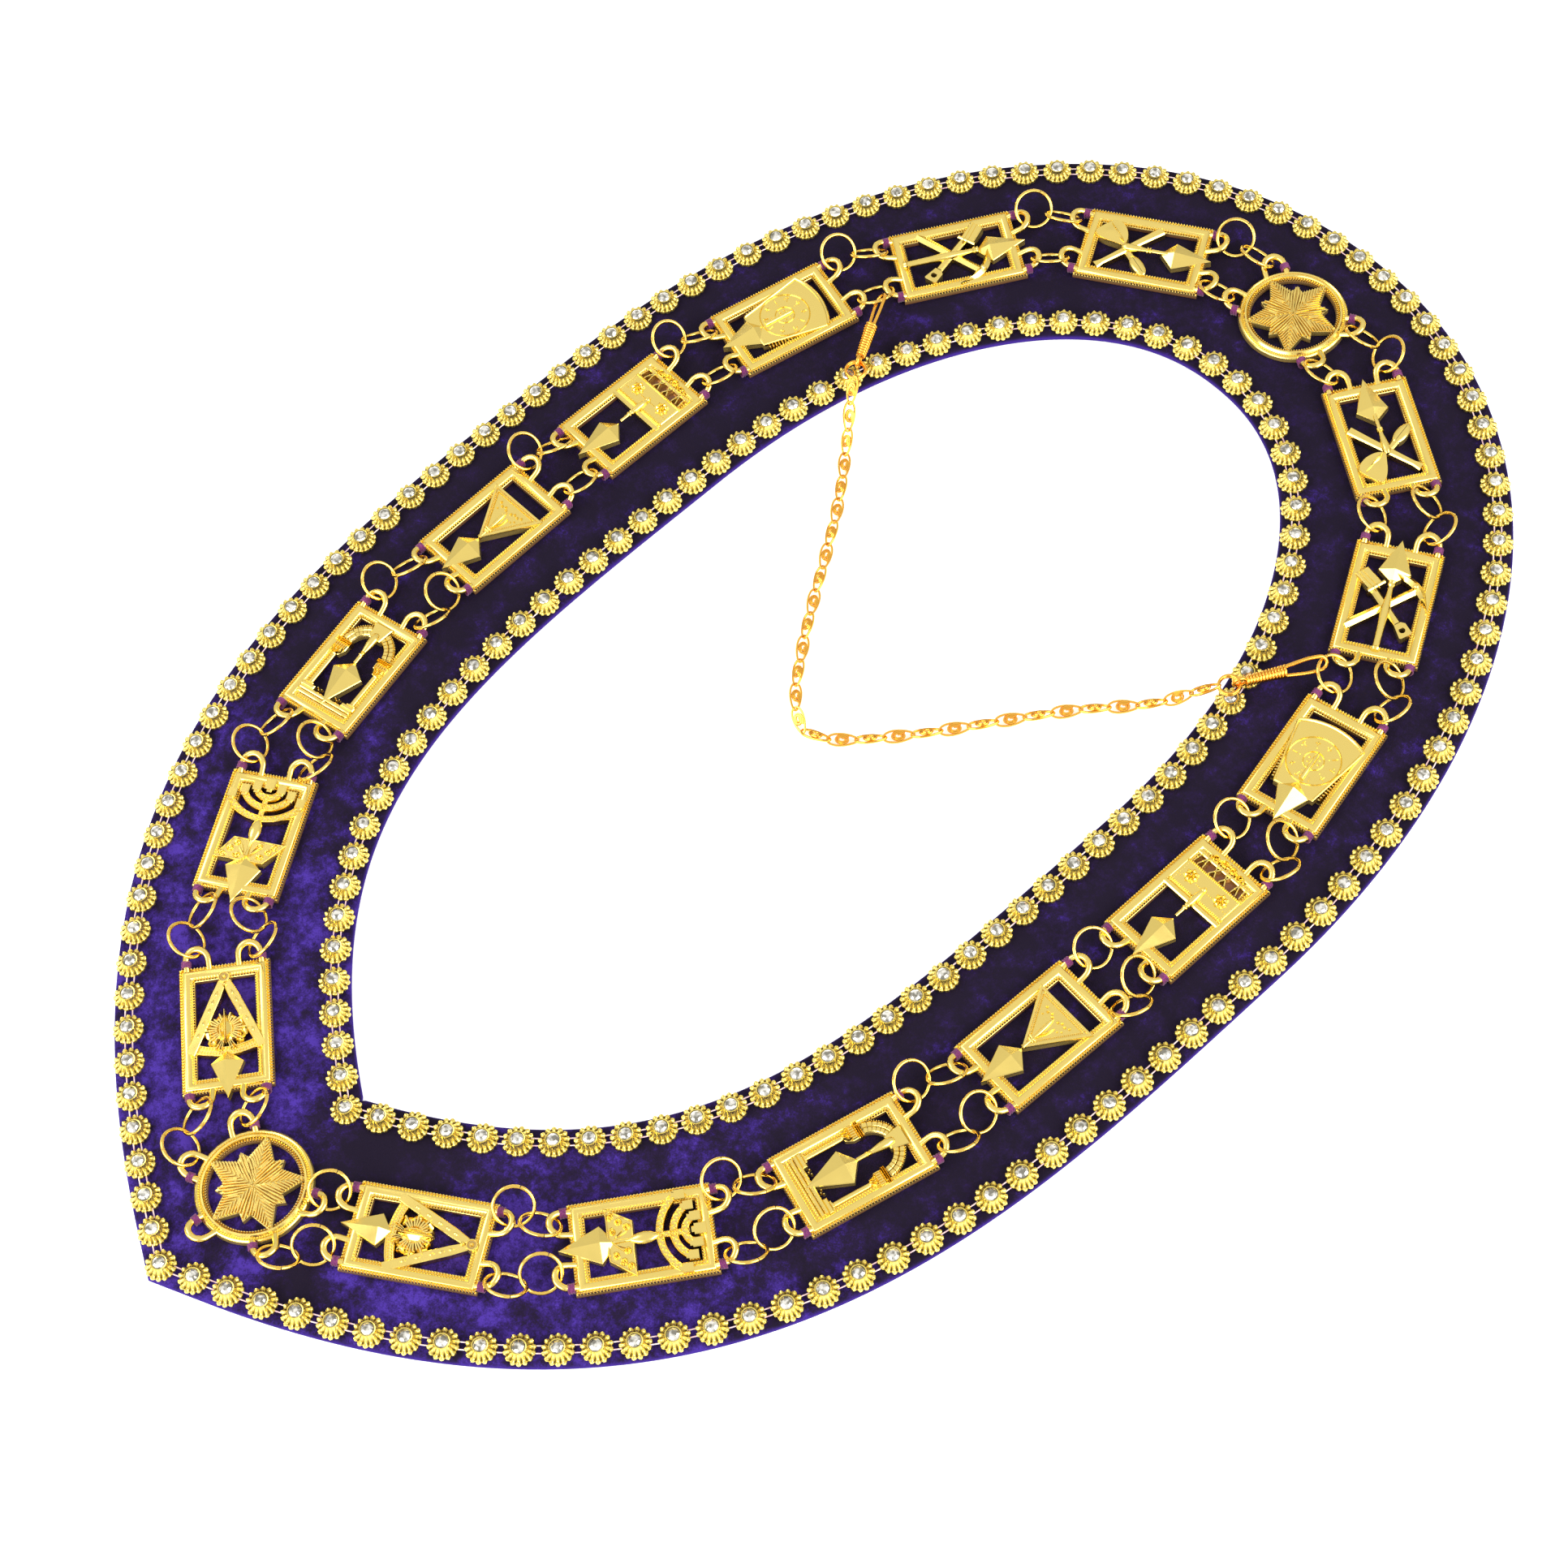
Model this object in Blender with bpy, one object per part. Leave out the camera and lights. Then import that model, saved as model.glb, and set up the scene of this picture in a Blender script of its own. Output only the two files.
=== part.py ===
"""Chain collar: a velvet band with two rows of stone trim, eighteen cast plates joined by jump rings,
and a safety chain on two snap hooks. It lies flat with its point toward -Y. Metres, +Z up."""

import math

import bmesh
import bpy
import numpy as np
from mathutils import Matrix, Vector

# Run of the band, measured along the middle of its width from the centre of the point disc
HALF_WIDTH = 0.133
WIDEST_HEIGHT = 0.277
NECK_HEIGHT = 0.465
NECK_FULLNESS = 2.1
POINT_ANGLE = math.radians(25.25)
POINT_PULL = 0.153
SIDE_PULL = 0.116

# Velvet band
BAND_WIDTH = 0.0775
BAND_THICKNESS = 0.003
BAND_EDGE_ROUND = 0.0014
BAND_HALF_SECTIONS = 28
MIDLINE_STEPS = 400
SEAM = 0.0004

# Clearance between pieces that rest on each other
SEAT_GAP = 0.0003

# Trims: a row of domed flowers along each edge of the band
TRIM_INSET = 0.00525
TRIM_WIDTH = 0.0100
TRIM_HEIGHT = 0.0040
OUTER_TRIM_HALF_SECTIONS = 36
INNER_TRIM_HALF_SECTIONS = 28

# Cast plates: the frame's edge wall, and the ridge along the middle of its bars
PLATE_LENGTH = 0.045
PLATE_WIDTH = 0.030
PLATE_BAR = 0.0052
PLATE_EDGE = 0.0021
PLATE_RIDGE = 0.0029
DISC_RADIUS = 0.0192
DISC_BAR = 0.0044
DISC_SEGMENTS = 16

# Cast loops at the plates' ends
LOOP_SPACING = 0.0172
LOOP_RADIUS = 0.0037
LOOP_LEG = 0.0017
LOOP_ROOT = 0.0012
LOOP_HEIGHT = 0.0020
LOOP_HALF_WIDTH = 0.0010
LOOP_HALF_THICKNESS = 0.0007
LOOP_RISE = math.radians(22)
LOOP_SIDES = 4
DISC_LOOP_ANGLE = math.radians(28)

# Jump rings: outside diameter and wire, how far a ring leans, and how far a pair of rings bows out
RING_DIAMETER = 0.0139
RING_WIRE = 0.0010
RING_LEAN = math.radians(42)
RING_BOW = 0.0035
RING_PLAY = 0.0011

# Where a ring passes through its loop, as the chord's share of the ring's diameter: a ring by itself,
# and the most and the least for linked rings. Linked wires pass each other by a share of the wire
SINGLE_CHORD = 0.93
LONGEST_CHORD = 0.84
SHORTEST_CHORD = 0.71
LINK_OVERLAP = 0.30
RING_SEGMENTS = 10
WIRE_SIDES = 5

# Safety chain and snap hooks
CHAIN_DIAMETER = 0.0030
CHAIN_POINTS = 44
CHAIN_SIDES = 8
END_RING_DIAMETER = 0.0080
END_RING_WIRE = 0.0010
CLASP_HOOK_RADIUS = 0.0024
CLASP_WIRE = 0.0014
CLASP_NECK = 0.0080
CLASP_COIL_LENGTH = 0.0135
CLASP_COIL_FRONT = 0.0019
CLASP_COIL_BACK = 0.0022
CLASP_EYE_RADIUS = 0.0021
CLASP_SPAN = 0.0303
CLASP_SWING = math.radians(37.6)
CLASP_GAP = 6

# Half of the safety chain's run, from its middle: x, y from the point disc, and height. The last place is
# the end ring's centre, which the clasp settles, and the run follows it
CHAIN_ROUTE = (
    (0.0000, 0.2320, 0.0016),
    (0.0095, 0.2370, 0.0016),
    (0.0200, 0.2485, 0.0016),
    (0.0325, 0.2650, 0.0016),
    (0.0455, 0.2840, 0.0016),
    (0.0580, 0.3015, 0.0016),
    (0.0660, 0.3110, 0.0016),
    (0.0740, 0.3202, 0.0020),
    (0.0795, 0.3265, 0.0048),
    (0.0842, 0.3324, 0.0088),
    (0.0878, 0.3372, 0.0102),
    (0.0900, 0.3400, 0.0102),
)

# Rectangular plates from the point to the neck, the same on both sides:
# emblem, share of the half run where its centre lies, distance outward from the middle of the band
PLATES = (
    ("compasses", 0.0957, 0.0015),
    ("candelabrum", 0.2135, 0.0011),
    ("arch", 0.3295, 0.0009),
    ("triangle", 0.4506, 0.0017),
    ("chest", 0.5600, 0.0023),
    ("keystone", 0.6710, 0.0011),
    ("mallet", 0.7838, 0.0003),
    ("shovel", 0.8979, -0.0008),
)

# Heights of the relief on the plates, above the plates' undersides
RELIEF_LOW = 0.0003
RELIEF_FLAT = 0.0020
RELIEF_MID = 0.0026
RELIEF_HIGH = 0.0032
RELIEF_STEP = 0.0001
PEAK_RISE = 0.0013
BLADE_EDGE = 0.0030
BLADE_RIDGE = 0.0050
BLADE_WIDTH = 0.0098
BLADE_SHOULDER = 0.30

# Widths of the relief's bars: stems and branches, borders, tool handles, mouldings, heads and scrolls
STEM_WIDTH = 0.0014
BORDER_WIDTH = 0.0018
HANDLE_WIDTH = 0.0022
MOULDING_WIDTH = 0.0031
HEAD_WIDTH = 0.0050
HINGE_RADIUS = 0.0026
ROSETTE_RADIUS = 0.0019

# Tidying after a union: points closer than this are one, and faces within this angle are level
MERGE_DISTANCE = 2e-6
LEVEL_ANGLE = math.radians(0.2)

BAND_TOP = BAND_THICKNESS
PLATE_FLOOR = BAND_TOP + SEAT_GAP
RING_RADIUS = (RING_DIAMETER - RING_WIRE) / 2
END_RING_RADIUS = (END_RING_DIAMETER - END_RING_WIRE) / 2
HOLE_REACH = (LOOP_LEG + LOOP_RADIUS - LOOP_HALF_WIDTH) / 2
HOLE_HEIGHT = PLATE_FLOOR + LOOP_HEIGHT + HOLE_REACH * math.tan(LOOP_RISE)
UP = np.array([0.0, 0.0, 1.0])


def material(name, colour, metallic, roughness):
    """A Principled material with the piece's colour."""
    made = bpy.data.materials.new(name)
    made.use_nodes = True
    shader = made.node_tree.nodes["Principled BSDF"]
    shader.inputs["Base Color"].default_value = (*colour, 1.0)
    shader.inputs["Metallic"].default_value = metallic
    shader.inputs["Roughness"].default_value = roughness
    made.diffuse_color = (*colour, 1.0)
    return made


def clear_scene():
    for obj in list(bpy.data.objects):
        bpy.data.objects.remove(obj, do_unlink=True)


# Meshes

def mesh_from(name, points, faces):
    """A mesh with its faces turned outward."""
    mesh = bpy.data.meshes.new(name)
    mesh.from_pydata([tuple(map(float, point)) for point in points], [], faces)
    shape = bmesh.new()
    shape.from_mesh(mesh)
    if shape.calc_volume(signed=True) < 0:
        bmesh.ops.reverse_faces(shape, faces=shape.faces[:])
    shape.to_mesh(mesh)
    shape.free()
    return mesh


def frames_along(path, above):
    """At each point of a path that lies in one plane: the direction across it, and the plane's own."""
    frames = []
    for number in range(len(path)):
        ahead = path[min(number + 1, len(path) - 1)] - path[max(number - 1, 0)]
        frames.append((np.cross(above, ahead / np.linalg.norm(ahead)), above))
    return frames


def lofted(name, sections, ring):
    """Quads between neighbouring sections. With ring the last joins the first, else the ends are capped."""
    sections = np.asarray(sections, float)
    count, sides = sections.shape[:2]
    faces = []
    for row in range(count if ring else count - 1):
        here = row * sides
        there = (row + 1) % count * sides
        for side in range(sides):
            beside = (side + 1) % sides
            faces.append((here + side, here + beside, there + beside, there + side))
    if not ring:
        faces.append(tuple(range(sides))[::-1])
        faces.append(tuple((count - 1) * sides + side for side in range(sides)))
    return mesh_from(name, sections.reshape(-1, 3), faces)


def swept(name, path, frames, half_width, half_thickness, sides, ring=False):
    """A wire of elliptical section along a path. frames holds the two directions across each point."""
    turns = 2 * math.pi * (np.arange(sides) + 0.5) / sides
    wide = half_width * np.cos(turns)
    thick = half_thickness * np.sin(turns)
    sections = [
        point + np.outer(wide, across) + np.outer(thick, above)
        for point, (across, above) in zip(np.asarray(path, float), frames)
    ]
    return lofted(name, sections, ring)


def wire_ring(name, centre, first, second, radius, wire, start=0.0, segments=RING_SEGMENTS):
    """A round ring in the plane of two unit directions. start is the angle of its first corner."""
    centre = np.asarray(centre, float)
    normal = np.cross(first, second)
    angles = start + 2 * math.pi * np.arange(segments) / segments
    spokes = [math.cos(angle) * first + math.sin(angle) * second for angle in angles]
    path = [centre + radius * spoke for spoke in spokes]
    frames = [(spoke, normal) for spoke in spokes]
    return swept(name, path, frames, wire / 2, wire / 2, WIRE_SIDES, ring=True)


def joined(name, meshes):
    """One body from meshes that overlap, by Boolean unions."""
    base = bpy.data.objects.new(name, meshes[0])
    bpy.context.collection.objects.link(base)
    helpers = []
    for mesh in meshes[1:]:
        helper = bpy.data.objects.new(name + "_helper", mesh)
        bpy.context.collection.objects.link(helper)
        helpers.append(helper)
        union = base.modifiers.new("union", "BOOLEAN")
        union.operation = "UNION"
        union.solver = "EXACT"
        union.object = helper
    graph = bpy.context.evaluated_depsgraph_get()
    result = bpy.data.meshes.new_from_object(base.evaluated_get(graph))
    result.name = name
    for obj in (base, *helpers):
        bpy.data.objects.remove(obj, do_unlink=True)
    tidy_faces(result)
    return result


def tidy_faces(mesh):
    """Level faces that a union has cut up become whole again."""
    shape = bmesh.new()
    shape.from_mesh(mesh)
    bmesh.ops.remove_doubles(shape, verts=shape.verts[:], dist=MERGE_DISTANCE)
    bmesh.ops.dissolve_limit(shape, angle_limit=LEVEL_ANGLE, verts=shape.verts[:], edges=shape.edges[:])
    bmesh.ops.triangulate(shape, faces=shape.faces[:])
    shape.to_mesh(mesh)
    shape.free()


def prism(outline, low, high):
    """An upright prism on an outline of (x, y) points that runs anticlockwise."""
    count = len(outline)
    points = [(x, y, low) for x, y in outline] + [(x, y, high) for x, y in outline]
    faces = [tuple(range(count))[::-1], tuple(range(count, 2 * count))]
    for here in range(count):
        there = (here + 1) % count
        faces.append((here, there, there + count, here + count))
    return mesh_from("prism", points, faces)


def bar(start, end, width, low, high):
    """A straight bar seen from above, from start to end."""
    start = Vector(start)
    end = Vector(end)
    side = (end - start).orthogonal().normalized() * width / 2
    corners = (start - side, end - side, end + side, start + side)
    return prism([tuple(corner) for corner in corners], low, high)


def around(centre, reach, angle):
    """The place at a distance and an angle from a centre, seen from above."""
    return (centre[0] + reach * math.cos(angle), centre[1] + reach * math.sin(angle))


def arc_bar(centre, radius, width, first, last, steps, low, high):
    """A bar bent along an arc. The angles are in degrees and run anticlockwise."""
    angles = [math.radians(first + (last - first) * step / steps) for step in range(steps + 1)]
    outline = [around(centre, radius + width / 2, angle) for angle in angles]
    outline += [around(centre, radius - width / 2, angle) for angle in angles[::-1]]
    return prism(outline, low, high)


def round_boss(centre, radius, low, high, sides=6):
    """A low round boss."""
    return prism([around(centre, radius, 2 * math.pi * side / sides) for side in range(sides)], low, high)


def star(centre, reaches, repeats, low, high, lead=0.0, rise=0.0):
    """A star whose corners take the reaches in turn, and whose middle rises above its outline."""
    count = len(reaches) * repeats
    turn = 2 * math.pi / count
    outline = []
    for number in range(count):
        outline.append(around(centre, reaches[number % len(reaches)], lead + turn * number))
    points = [(x, y, low) for x, y in outline] + [(x, y, high) for x, y in outline]
    points.append((centre[0], centre[1], high + rise))
    faces = [tuple(range(count))[::-1]]
    for here in range(count):
        there = (here + 1) % count
        faces.append((here, there, there + count, here + count))
        faces.append((here + count, there + count, 2 * count))
    return mesh_from("star", points, faces)


def blade(heel, tip):
    """A trowel's kite-shaped blade from heel to tip: four facets that meet in a peak at the shoulder."""
    heel = Vector(heel)
    tip = Vector(tip)
    middle = heel.lerp(tip, BLADE_SHOULDER)
    side = (tip - heel).orthogonal().normalized() * BLADE_WIDTH / 2
    corners = [heel, middle - side, tip, middle + side]
    points = [(*corner, RELIEF_LOW * 2) for corner in corners]
    points += [(*corner, BLADE_EDGE) for corner in corners]
    points.append((*middle, BLADE_RIDGE))
    faces = [(3, 2, 1, 0)]
    for here in range(4):
        there = (here + 1) % 4
        faces.append((here, there, there + 4, here + 4))
        faces.append((here + 4, there + 4, 8))
    return mesh_from("blade", points, faces)


# Run of the band

def half_midline():
    """Points from the point disc's centre up one side to the neck: a Bezier curve, then a superellipse."""
    part = np.linspace(0, 1, MIDLINE_STEPS + 1)[:, None]
    start = np.array([0.0, 0.0])
    leave = POINT_PULL * np.array([math.cos(POINT_ANGLE), math.sin(POINT_ANGLE)])
    arrive = np.array([HALF_WIDTH, WIDEST_HEIGHT - SIDE_PULL])
    widest = np.array([HALF_WIDTH, WIDEST_HEIGHT])
    lower = (1 - part) ** 3 * start + 3 * (1 - part) ** 2 * part * leave
    lower = lower + 3 * (1 - part) * part**2 * arrive + part**3 * widest
    turn = np.linspace(0, math.pi / 2, MIDLINE_STEPS + 1)[1:]
    power = 2 / NECK_FULLNESS
    across = HALF_WIDTH * np.clip(np.cos(turn), 0, 1) ** power
    along = WIDEST_HEIGHT + (NECK_HEIGHT - WIDEST_HEIGHT) * np.sin(turn) ** power
    return np.vstack([lower, np.stack([across, along], 1)])


def directions(line):
    """Unit directions ahead along a line and outward to its right."""
    ahead = np.gradient(line, axis=0)
    ahead /= np.linalg.norm(ahead, axis=1)[:, None]
    return ahead, np.stack([ahead[:, 1], -ahead[:, 0]], 1)


def evenly(line, count):
    """The same line with count points at equal steps."""
    steps = np.linalg.norm(np.diff(line, axis=0), axis=1)
    run = np.concatenate([[0], np.cumsum(steps)])
    wanted = np.linspace(0, run[-1], count)
    return np.stack([np.interp(wanted, run, line[:, axis]) for axis in range(line.shape[1])], 1)


def rail(offset, half_sections):
    """A closed line beside the midline, with a mitred corner at the point. It runs anticlockwise."""
    line = half_midline()
    side = line + offset * directions(line)[1]
    side = side[side[:, 0] > SEAM]
    corner = [[0.0, -offset / math.cos(POINT_ANGLE)]]
    top = [[0.0, NECK_HEIGHT + offset]]
    half = evenly(np.vstack([corner, side, top]), half_sections + 1)
    other = half[1:-1][::-1] * (-1, 1)
    return np.vstack([half, other])


def place_on_run(share, outward):
    """Centre and direction ahead at a share of the half run."""
    line = evenly(half_midline(), 5 * MIDLINE_STEPS + 1)
    ahead, right = directions(line)
    number = round(share * 5 * MIDLINE_STEPS)
    return line[number] + outward * right[number], ahead[number]


TOP = NECK_HEIGHT + BAND_WIDTH / 2
POINT = -BAND_WIDTH / 2 / math.cos(POINT_ANGLE)
DISC_Y = -(TOP + POINT) / 2


def band_mesh():
    """The padded band: a flat underside, and edges rounded over the padding."""
    half = BAND_WIDTH / 2
    turn = BAND_EDGE_ROUND
    profile = (
        (-half + turn / 2, 0.0),
        (-half, BAND_THICKNESS / 2),
        (-half + turn, BAND_THICKNESS),
        (half - turn, BAND_THICKNESS),
        (half, BAND_THICKNESS / 2),
        (half - turn / 2, 0.0),
    )
    rows = [with_height(rail(offset, BAND_HALF_SECTIONS), height) for offset, height in profile]
    return lofted("velvet_band", np.stack(rows, 1), ring=True)


def with_height(line, height):
    """Points in the plane given one height, in the part's own frame."""
    return np.column_stack([line[:, 0], line[:, 1] + DISC_Y, np.full(len(line), height)])


def trim_mesh(name, offset, half_sections):
    """A row of domed flowers as one domed strip."""
    half = TRIM_WIDTH / 2
    floor = BAND_TOP + SEAT_GAP
    profile = (
        (-half, 0.0),
        (-0.5 * half, TRIM_HEIGHT),
        (0.5 * half, TRIM_HEIGHT),
        (half, 0.0),
    )
    rows = [with_height(rail(offset + across, half_sections), floor + height) for across, height in profile]
    return lofted(name, np.stack(rows, 1), ring=True)


# Plates

def frame_mesh():
    """A rectangular frame whose bars rise to a ridge."""
    profile = (
        (0.0, 0.0),
        (0.0, PLATE_EDGE),
        (PLATE_BAR / 2, PLATE_RIDGE),
        (PLATE_BAR, PLATE_EDGE),
        (PLATE_BAR, 0.0),
    )
    half_width = PLATE_WIDTH / 2
    half_length = PLATE_LENGTH / 2
    sections = []
    for x, y in ((1, -1), (1, 1), (-1, 1), (-1, -1)):
        section = [(x * (half_width - inset), y * (half_length - inset), up) for inset, up in profile]
        sections.append(section)
    return lofted("frame", sections, ring=True)


def disc_mesh():
    """A round frame whose bar rises to a ridge."""
    profile = (
        (0.0, 0.0),
        (0.0, PLATE_EDGE),
        (DISC_BAR / 2, PLATE_RIDGE),
        (DISC_BAR, PLATE_EDGE),
        (DISC_BAR, 0.0),
    )
    turn = 2 * math.pi / DISC_SEGMENTS
    sections = []
    for number in range(DISC_SEGMENTS):
        angle = turn * number
        section = [(*around((0.0, 0.0), DISC_RADIUS - inset, angle), up) for inset, up in profile]
        sections.append(section)
    return lofted("disc", sections, ring=True)


def loop_mesh(root, outward):
    """A cast loop: two legs rooted in the frame's edge and a half octagon, rising away from the plate."""
    outward = np.array([*outward, 0.0])
    sideways = np.array([outward[1], -outward[0], 0.0])
    plan = [(LOOP_RADIUS, -LOOP_ROOT)]
    for corner in range(4):
        angle = math.pi * (corner + 0.5) / 4
        reach = LOOP_RADIUS / math.cos(math.pi / 8)
        plan.append((reach * math.cos(angle), LOOP_LEG + reach * math.sin(angle)))
    plan.append((-LOOP_RADIUS, -LOOP_ROOT))
    slope = outward * math.cos(LOOP_RISE) + UP * math.sin(LOOP_RISE)
    above = np.cross(sideways, slope)
    base = np.array([*root, LOOP_HEIGHT])
    path = [base + sideways * across + (outward + UP * math.tan(LOOP_RISE)) * away for across, away in plan]
    return swept("loop", path, frames_along(path, above), LOOP_HALF_WIDTH, LOOP_HALF_THICKNESS, LOOP_SIDES)


def plate_loops():
    """Two loops at each end of a rectangular plate."""
    half = PLATE_LENGTH / 2
    side = LOOP_SPACING / 2
    return [loop_mesh((x * side, y * half), (0.0, y)) for x in (-1, 1) for y in (-1, 1)]


def disc_loop_angles(with_drop):
    """Angles of a disc's loops: two to each side, and one toward the point for a jewel."""
    angles = [DISC_LOOP_ANGLE, -DISC_LOOP_ANGLE, math.pi - DISC_LOOP_ANGLE, math.pi + DISC_LOOP_ANGLE]
    if with_drop:
        angles.append(-math.pi / 2)
    return angles


def disc_loops(with_drop):
    found = []
    for angle in disc_loop_angles(with_drop):
        outward = (math.cos(angle), math.sin(angle))
        found.append(loop_mesh((DISC_RADIUS * outward[0], DISC_RADIUS * outward[1]), outward))
    return found


# Emblems. Each is laid out on the window: half its width and half its length are 1
WINDOW_X = PLATE_WIDTH / 2 - PLATE_BAR
WINDOW_Y = PLATE_LENGTH / 2 - PLATE_BAR


def at(x, y):
    """A place on a plate from shares of the window's half width and half length."""
    return (x * WINDOW_X, y * WINDOW_Y)


def compasses():
    """Compasses with a quadrant between their legs, a sun, and the blade below."""
    hinge = at(0.0, 0.96)
    reach = math.hypot(WINDOW_X, 1.5 * WINDOW_Y)
    spread = math.degrees(math.atan2(WINDOW_X, 1.5 * WINDOW_Y))
    first = 270 - spread
    last = 270 + spread
    rays = (0.62 * WINDOW_X, 0.35 * WINDOW_X)
    return [
        bar(hinge, at(-1.08, -0.60), HANDLE_WIDTH, RELIEF_LOW, RELIEF_MID),
        bar(hinge, at(1.08, -0.60), HANDLE_WIDTH, RELIEF_LOW, RELIEF_MID + RELIEF_STEP),
        round_boss(hinge, HINGE_RADIUS, RELIEF_LOW * 1.5, RELIEF_HIGH),
        arc_bar(hinge, 0.94 * reach, MOULDING_WIDTH, first, last, 3, RELIEF_LOW * 2, RELIEF_FLAT),
        star(at(0.0, -0.22), rays, 5, RELIEF_LOW * 1.2, RELIEF_FLAT, math.pi / 2, PEAK_RISE),
        blade(at(0.0, -0.50), at(0.0, -1.36)),
    ]


def candelabrum():
    """Three pairs of branches with cups, a scrolled base, and a trowel below."""
    foot = at(0.0, 0.62)
    pieces = []
    for reach, lift in ((0.31, 0), (0.62, 1), (0.93, 2)):
        high = RELIEF_MID + lift * RELIEF_STEP
        pieces.append(arc_bar(foot, reach * WINDOW_X, STEM_WIDTH, 180, 360, 4, RELIEF_LOW, high))
    pieces.append(bar(at(0.0, 1.05), at(0.0, -0.2), BORDER_WIDTH, RELIEF_LOW * 2, RELIEF_HIGH))
    scroll_top = RELIEF_MID + 3 * RELIEF_STEP
    pieces.append(bar(at(-1.05, -0.10), at(1.05, -0.10), HEAD_WIDTH, RELIEF_LOW * 2.5, scroll_top))
    pieces.append(blade(at(0.0, -0.12), at(0.0, -1.36)))
    return pieces


def arch():
    """An arch on two columns over steps, with a trowel in the opening."""
    outline = [at(-1.04, 0.42), at(-0.70, 0.42), at(-0.70, -0.70), at(-1.04, -0.70)]
    other = [(-x, y) for x, y in outline[::-1]]
    return [
        arc_bar(at(0.0, 0.38), 0.82 * WINDOW_X, MOULDING_WIDTH, 0, 180, 6, RELIEF_LOW, RELIEF_MID),
        bar(at(0.0, 0.72), at(0.0, 1.05), MOULDING_WIDTH, RELIEF_LOW * 2, RELIEF_HIGH),
        prism(outline[::-1], RELIEF_LOW * 1.5, RELIEF_MID + RELIEF_STEP),
        prism(other[::-1], RELIEF_LOW * 1.5, RELIEF_MID + RELIEF_STEP),
        bar(at(0.0, 0.86), at(0.0, -0.1), STEM_WIDTH, RELIEF_LOW * 3, RELIEF_MID + 2 * RELIEF_STEP),
        blade(at(0.0, 0.0), at(0.0, -0.98)),
        bar(at(-1.05, -0.74), at(1.05, -0.74), HEAD_WIDTH, RELIEF_LOW * 1.2, RELIEF_FLAT),
        bar(at(-1.05, -0.94), at(1.05, -0.94), MOULDING_WIDTH, RELIEF_LOW * 1.4, RELIEF_HIGH),
    ]


def triangle():
    """A triangle with a raised border, its apex toward the blade."""
    left = at(-1.08, 0.62)
    right = at(1.08, 0.62)
    apex = at(0.0, -0.46)
    return [
        prism([left, apex, right], RELIEF_LOW, RELIEF_FLAT),
        bar(left, right, BORDER_WIDTH, RELIEF_LOW * 1.5, RELIEF_MID),
        bar(left, apex, BORDER_WIDTH, RELIEF_LOW * 2, RELIEF_MID + RELIEF_STEP),
        bar(right, apex, BORDER_WIDTH, RELIEF_LOW * 2.5, RELIEF_MID + 2 * RELIEF_STEP),
        blade(at(0.0, -0.34), at(0.0, -1.36)),
    ]


def chest():
    """A chest with two rosettes, posts above it, and a round-handled trowel."""
    pieces = [
        prism([at(-1.05, 0.18), at(1.05, 0.18), at(1.05, 0.66), at(-1.05, 0.66)], RELIEF_LOW, RELIEF_MID),
        round_boss(at(-0.55, 0.42), ROSETTE_RADIUS, RELIEF_LOW * 2, RELIEF_HIGH),
        round_boss(at(0.55, 0.42), ROSETTE_RADIUS, RELIEF_LOW * 2, RELIEF_HIGH),
        bar(at(0.0, 0.30), at(0.0, -0.25), HANDLE_WIDTH, RELIEF_LOW * 3, RELIEF_HIGH),
        blade(at(0.0, -0.14), at(0.0, -1.36)),
    ]
    for post in (-0.6, 0.0, 0.6):
        pieces.append(bar(at(post, 0.60), at(post, 1.05), STEM_WIDTH, RELIEF_LOW * 1.5, RELIEF_FLAT))
    return pieces


def keystone():
    """A keystone with a raised round field, and the blade below."""
    foot = [at(-0.72, -0.62), at(0.72, -0.62)]
    crown = [at(1.06, 0.52), at(0.6, 0.72), at(-0.6, 0.72), at(-1.06, 0.52)]
    return [
        prism(foot + crown, RELIEF_LOW, RELIEF_MID),
        round_boss(at(0.0, 0.06), 0.62 * WINDOW_X, RELIEF_LOW * 3, RELIEF_HIGH, 10),
        blade(at(0.0, -0.46), at(0.0, -1.36)),
    ]


def mallet():
    """A mallet and a pick crossed over a spear, with the blade toward the neck."""
    return [
        bar(at(-0.9, -1.05), at(0.62, 0.62), HANDLE_WIDTH, RELIEF_LOW, RELIEF_MID),
        bar(at(0.9, -1.05), at(-0.62, 0.55), HANDLE_WIDTH, RELIEF_LOW * 2, RELIEF_MID + 2 * RELIEF_STEP),
        bar(at(0.0, -1.05), at(0.0, 0.20), BORDER_WIDTH, RELIEF_LOW * 3, RELIEF_HIGH),
        bar(at(-0.16, 0.74), at(-0.98, 0.36), HEAD_WIDTH, RELIEF_LOW * 1.5, RELIEF_HIGH - RELIEF_STEP),
        bar(at(1.04, 0.30), at(0.34, 0.66), HANDLE_WIDTH, RELIEF_LOW * 2.5, RELIEF_MID + 3 * RELIEF_STEP),
        blade(at(0.0, 0.10), at(0.0, 1.34)),
    ]


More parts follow.
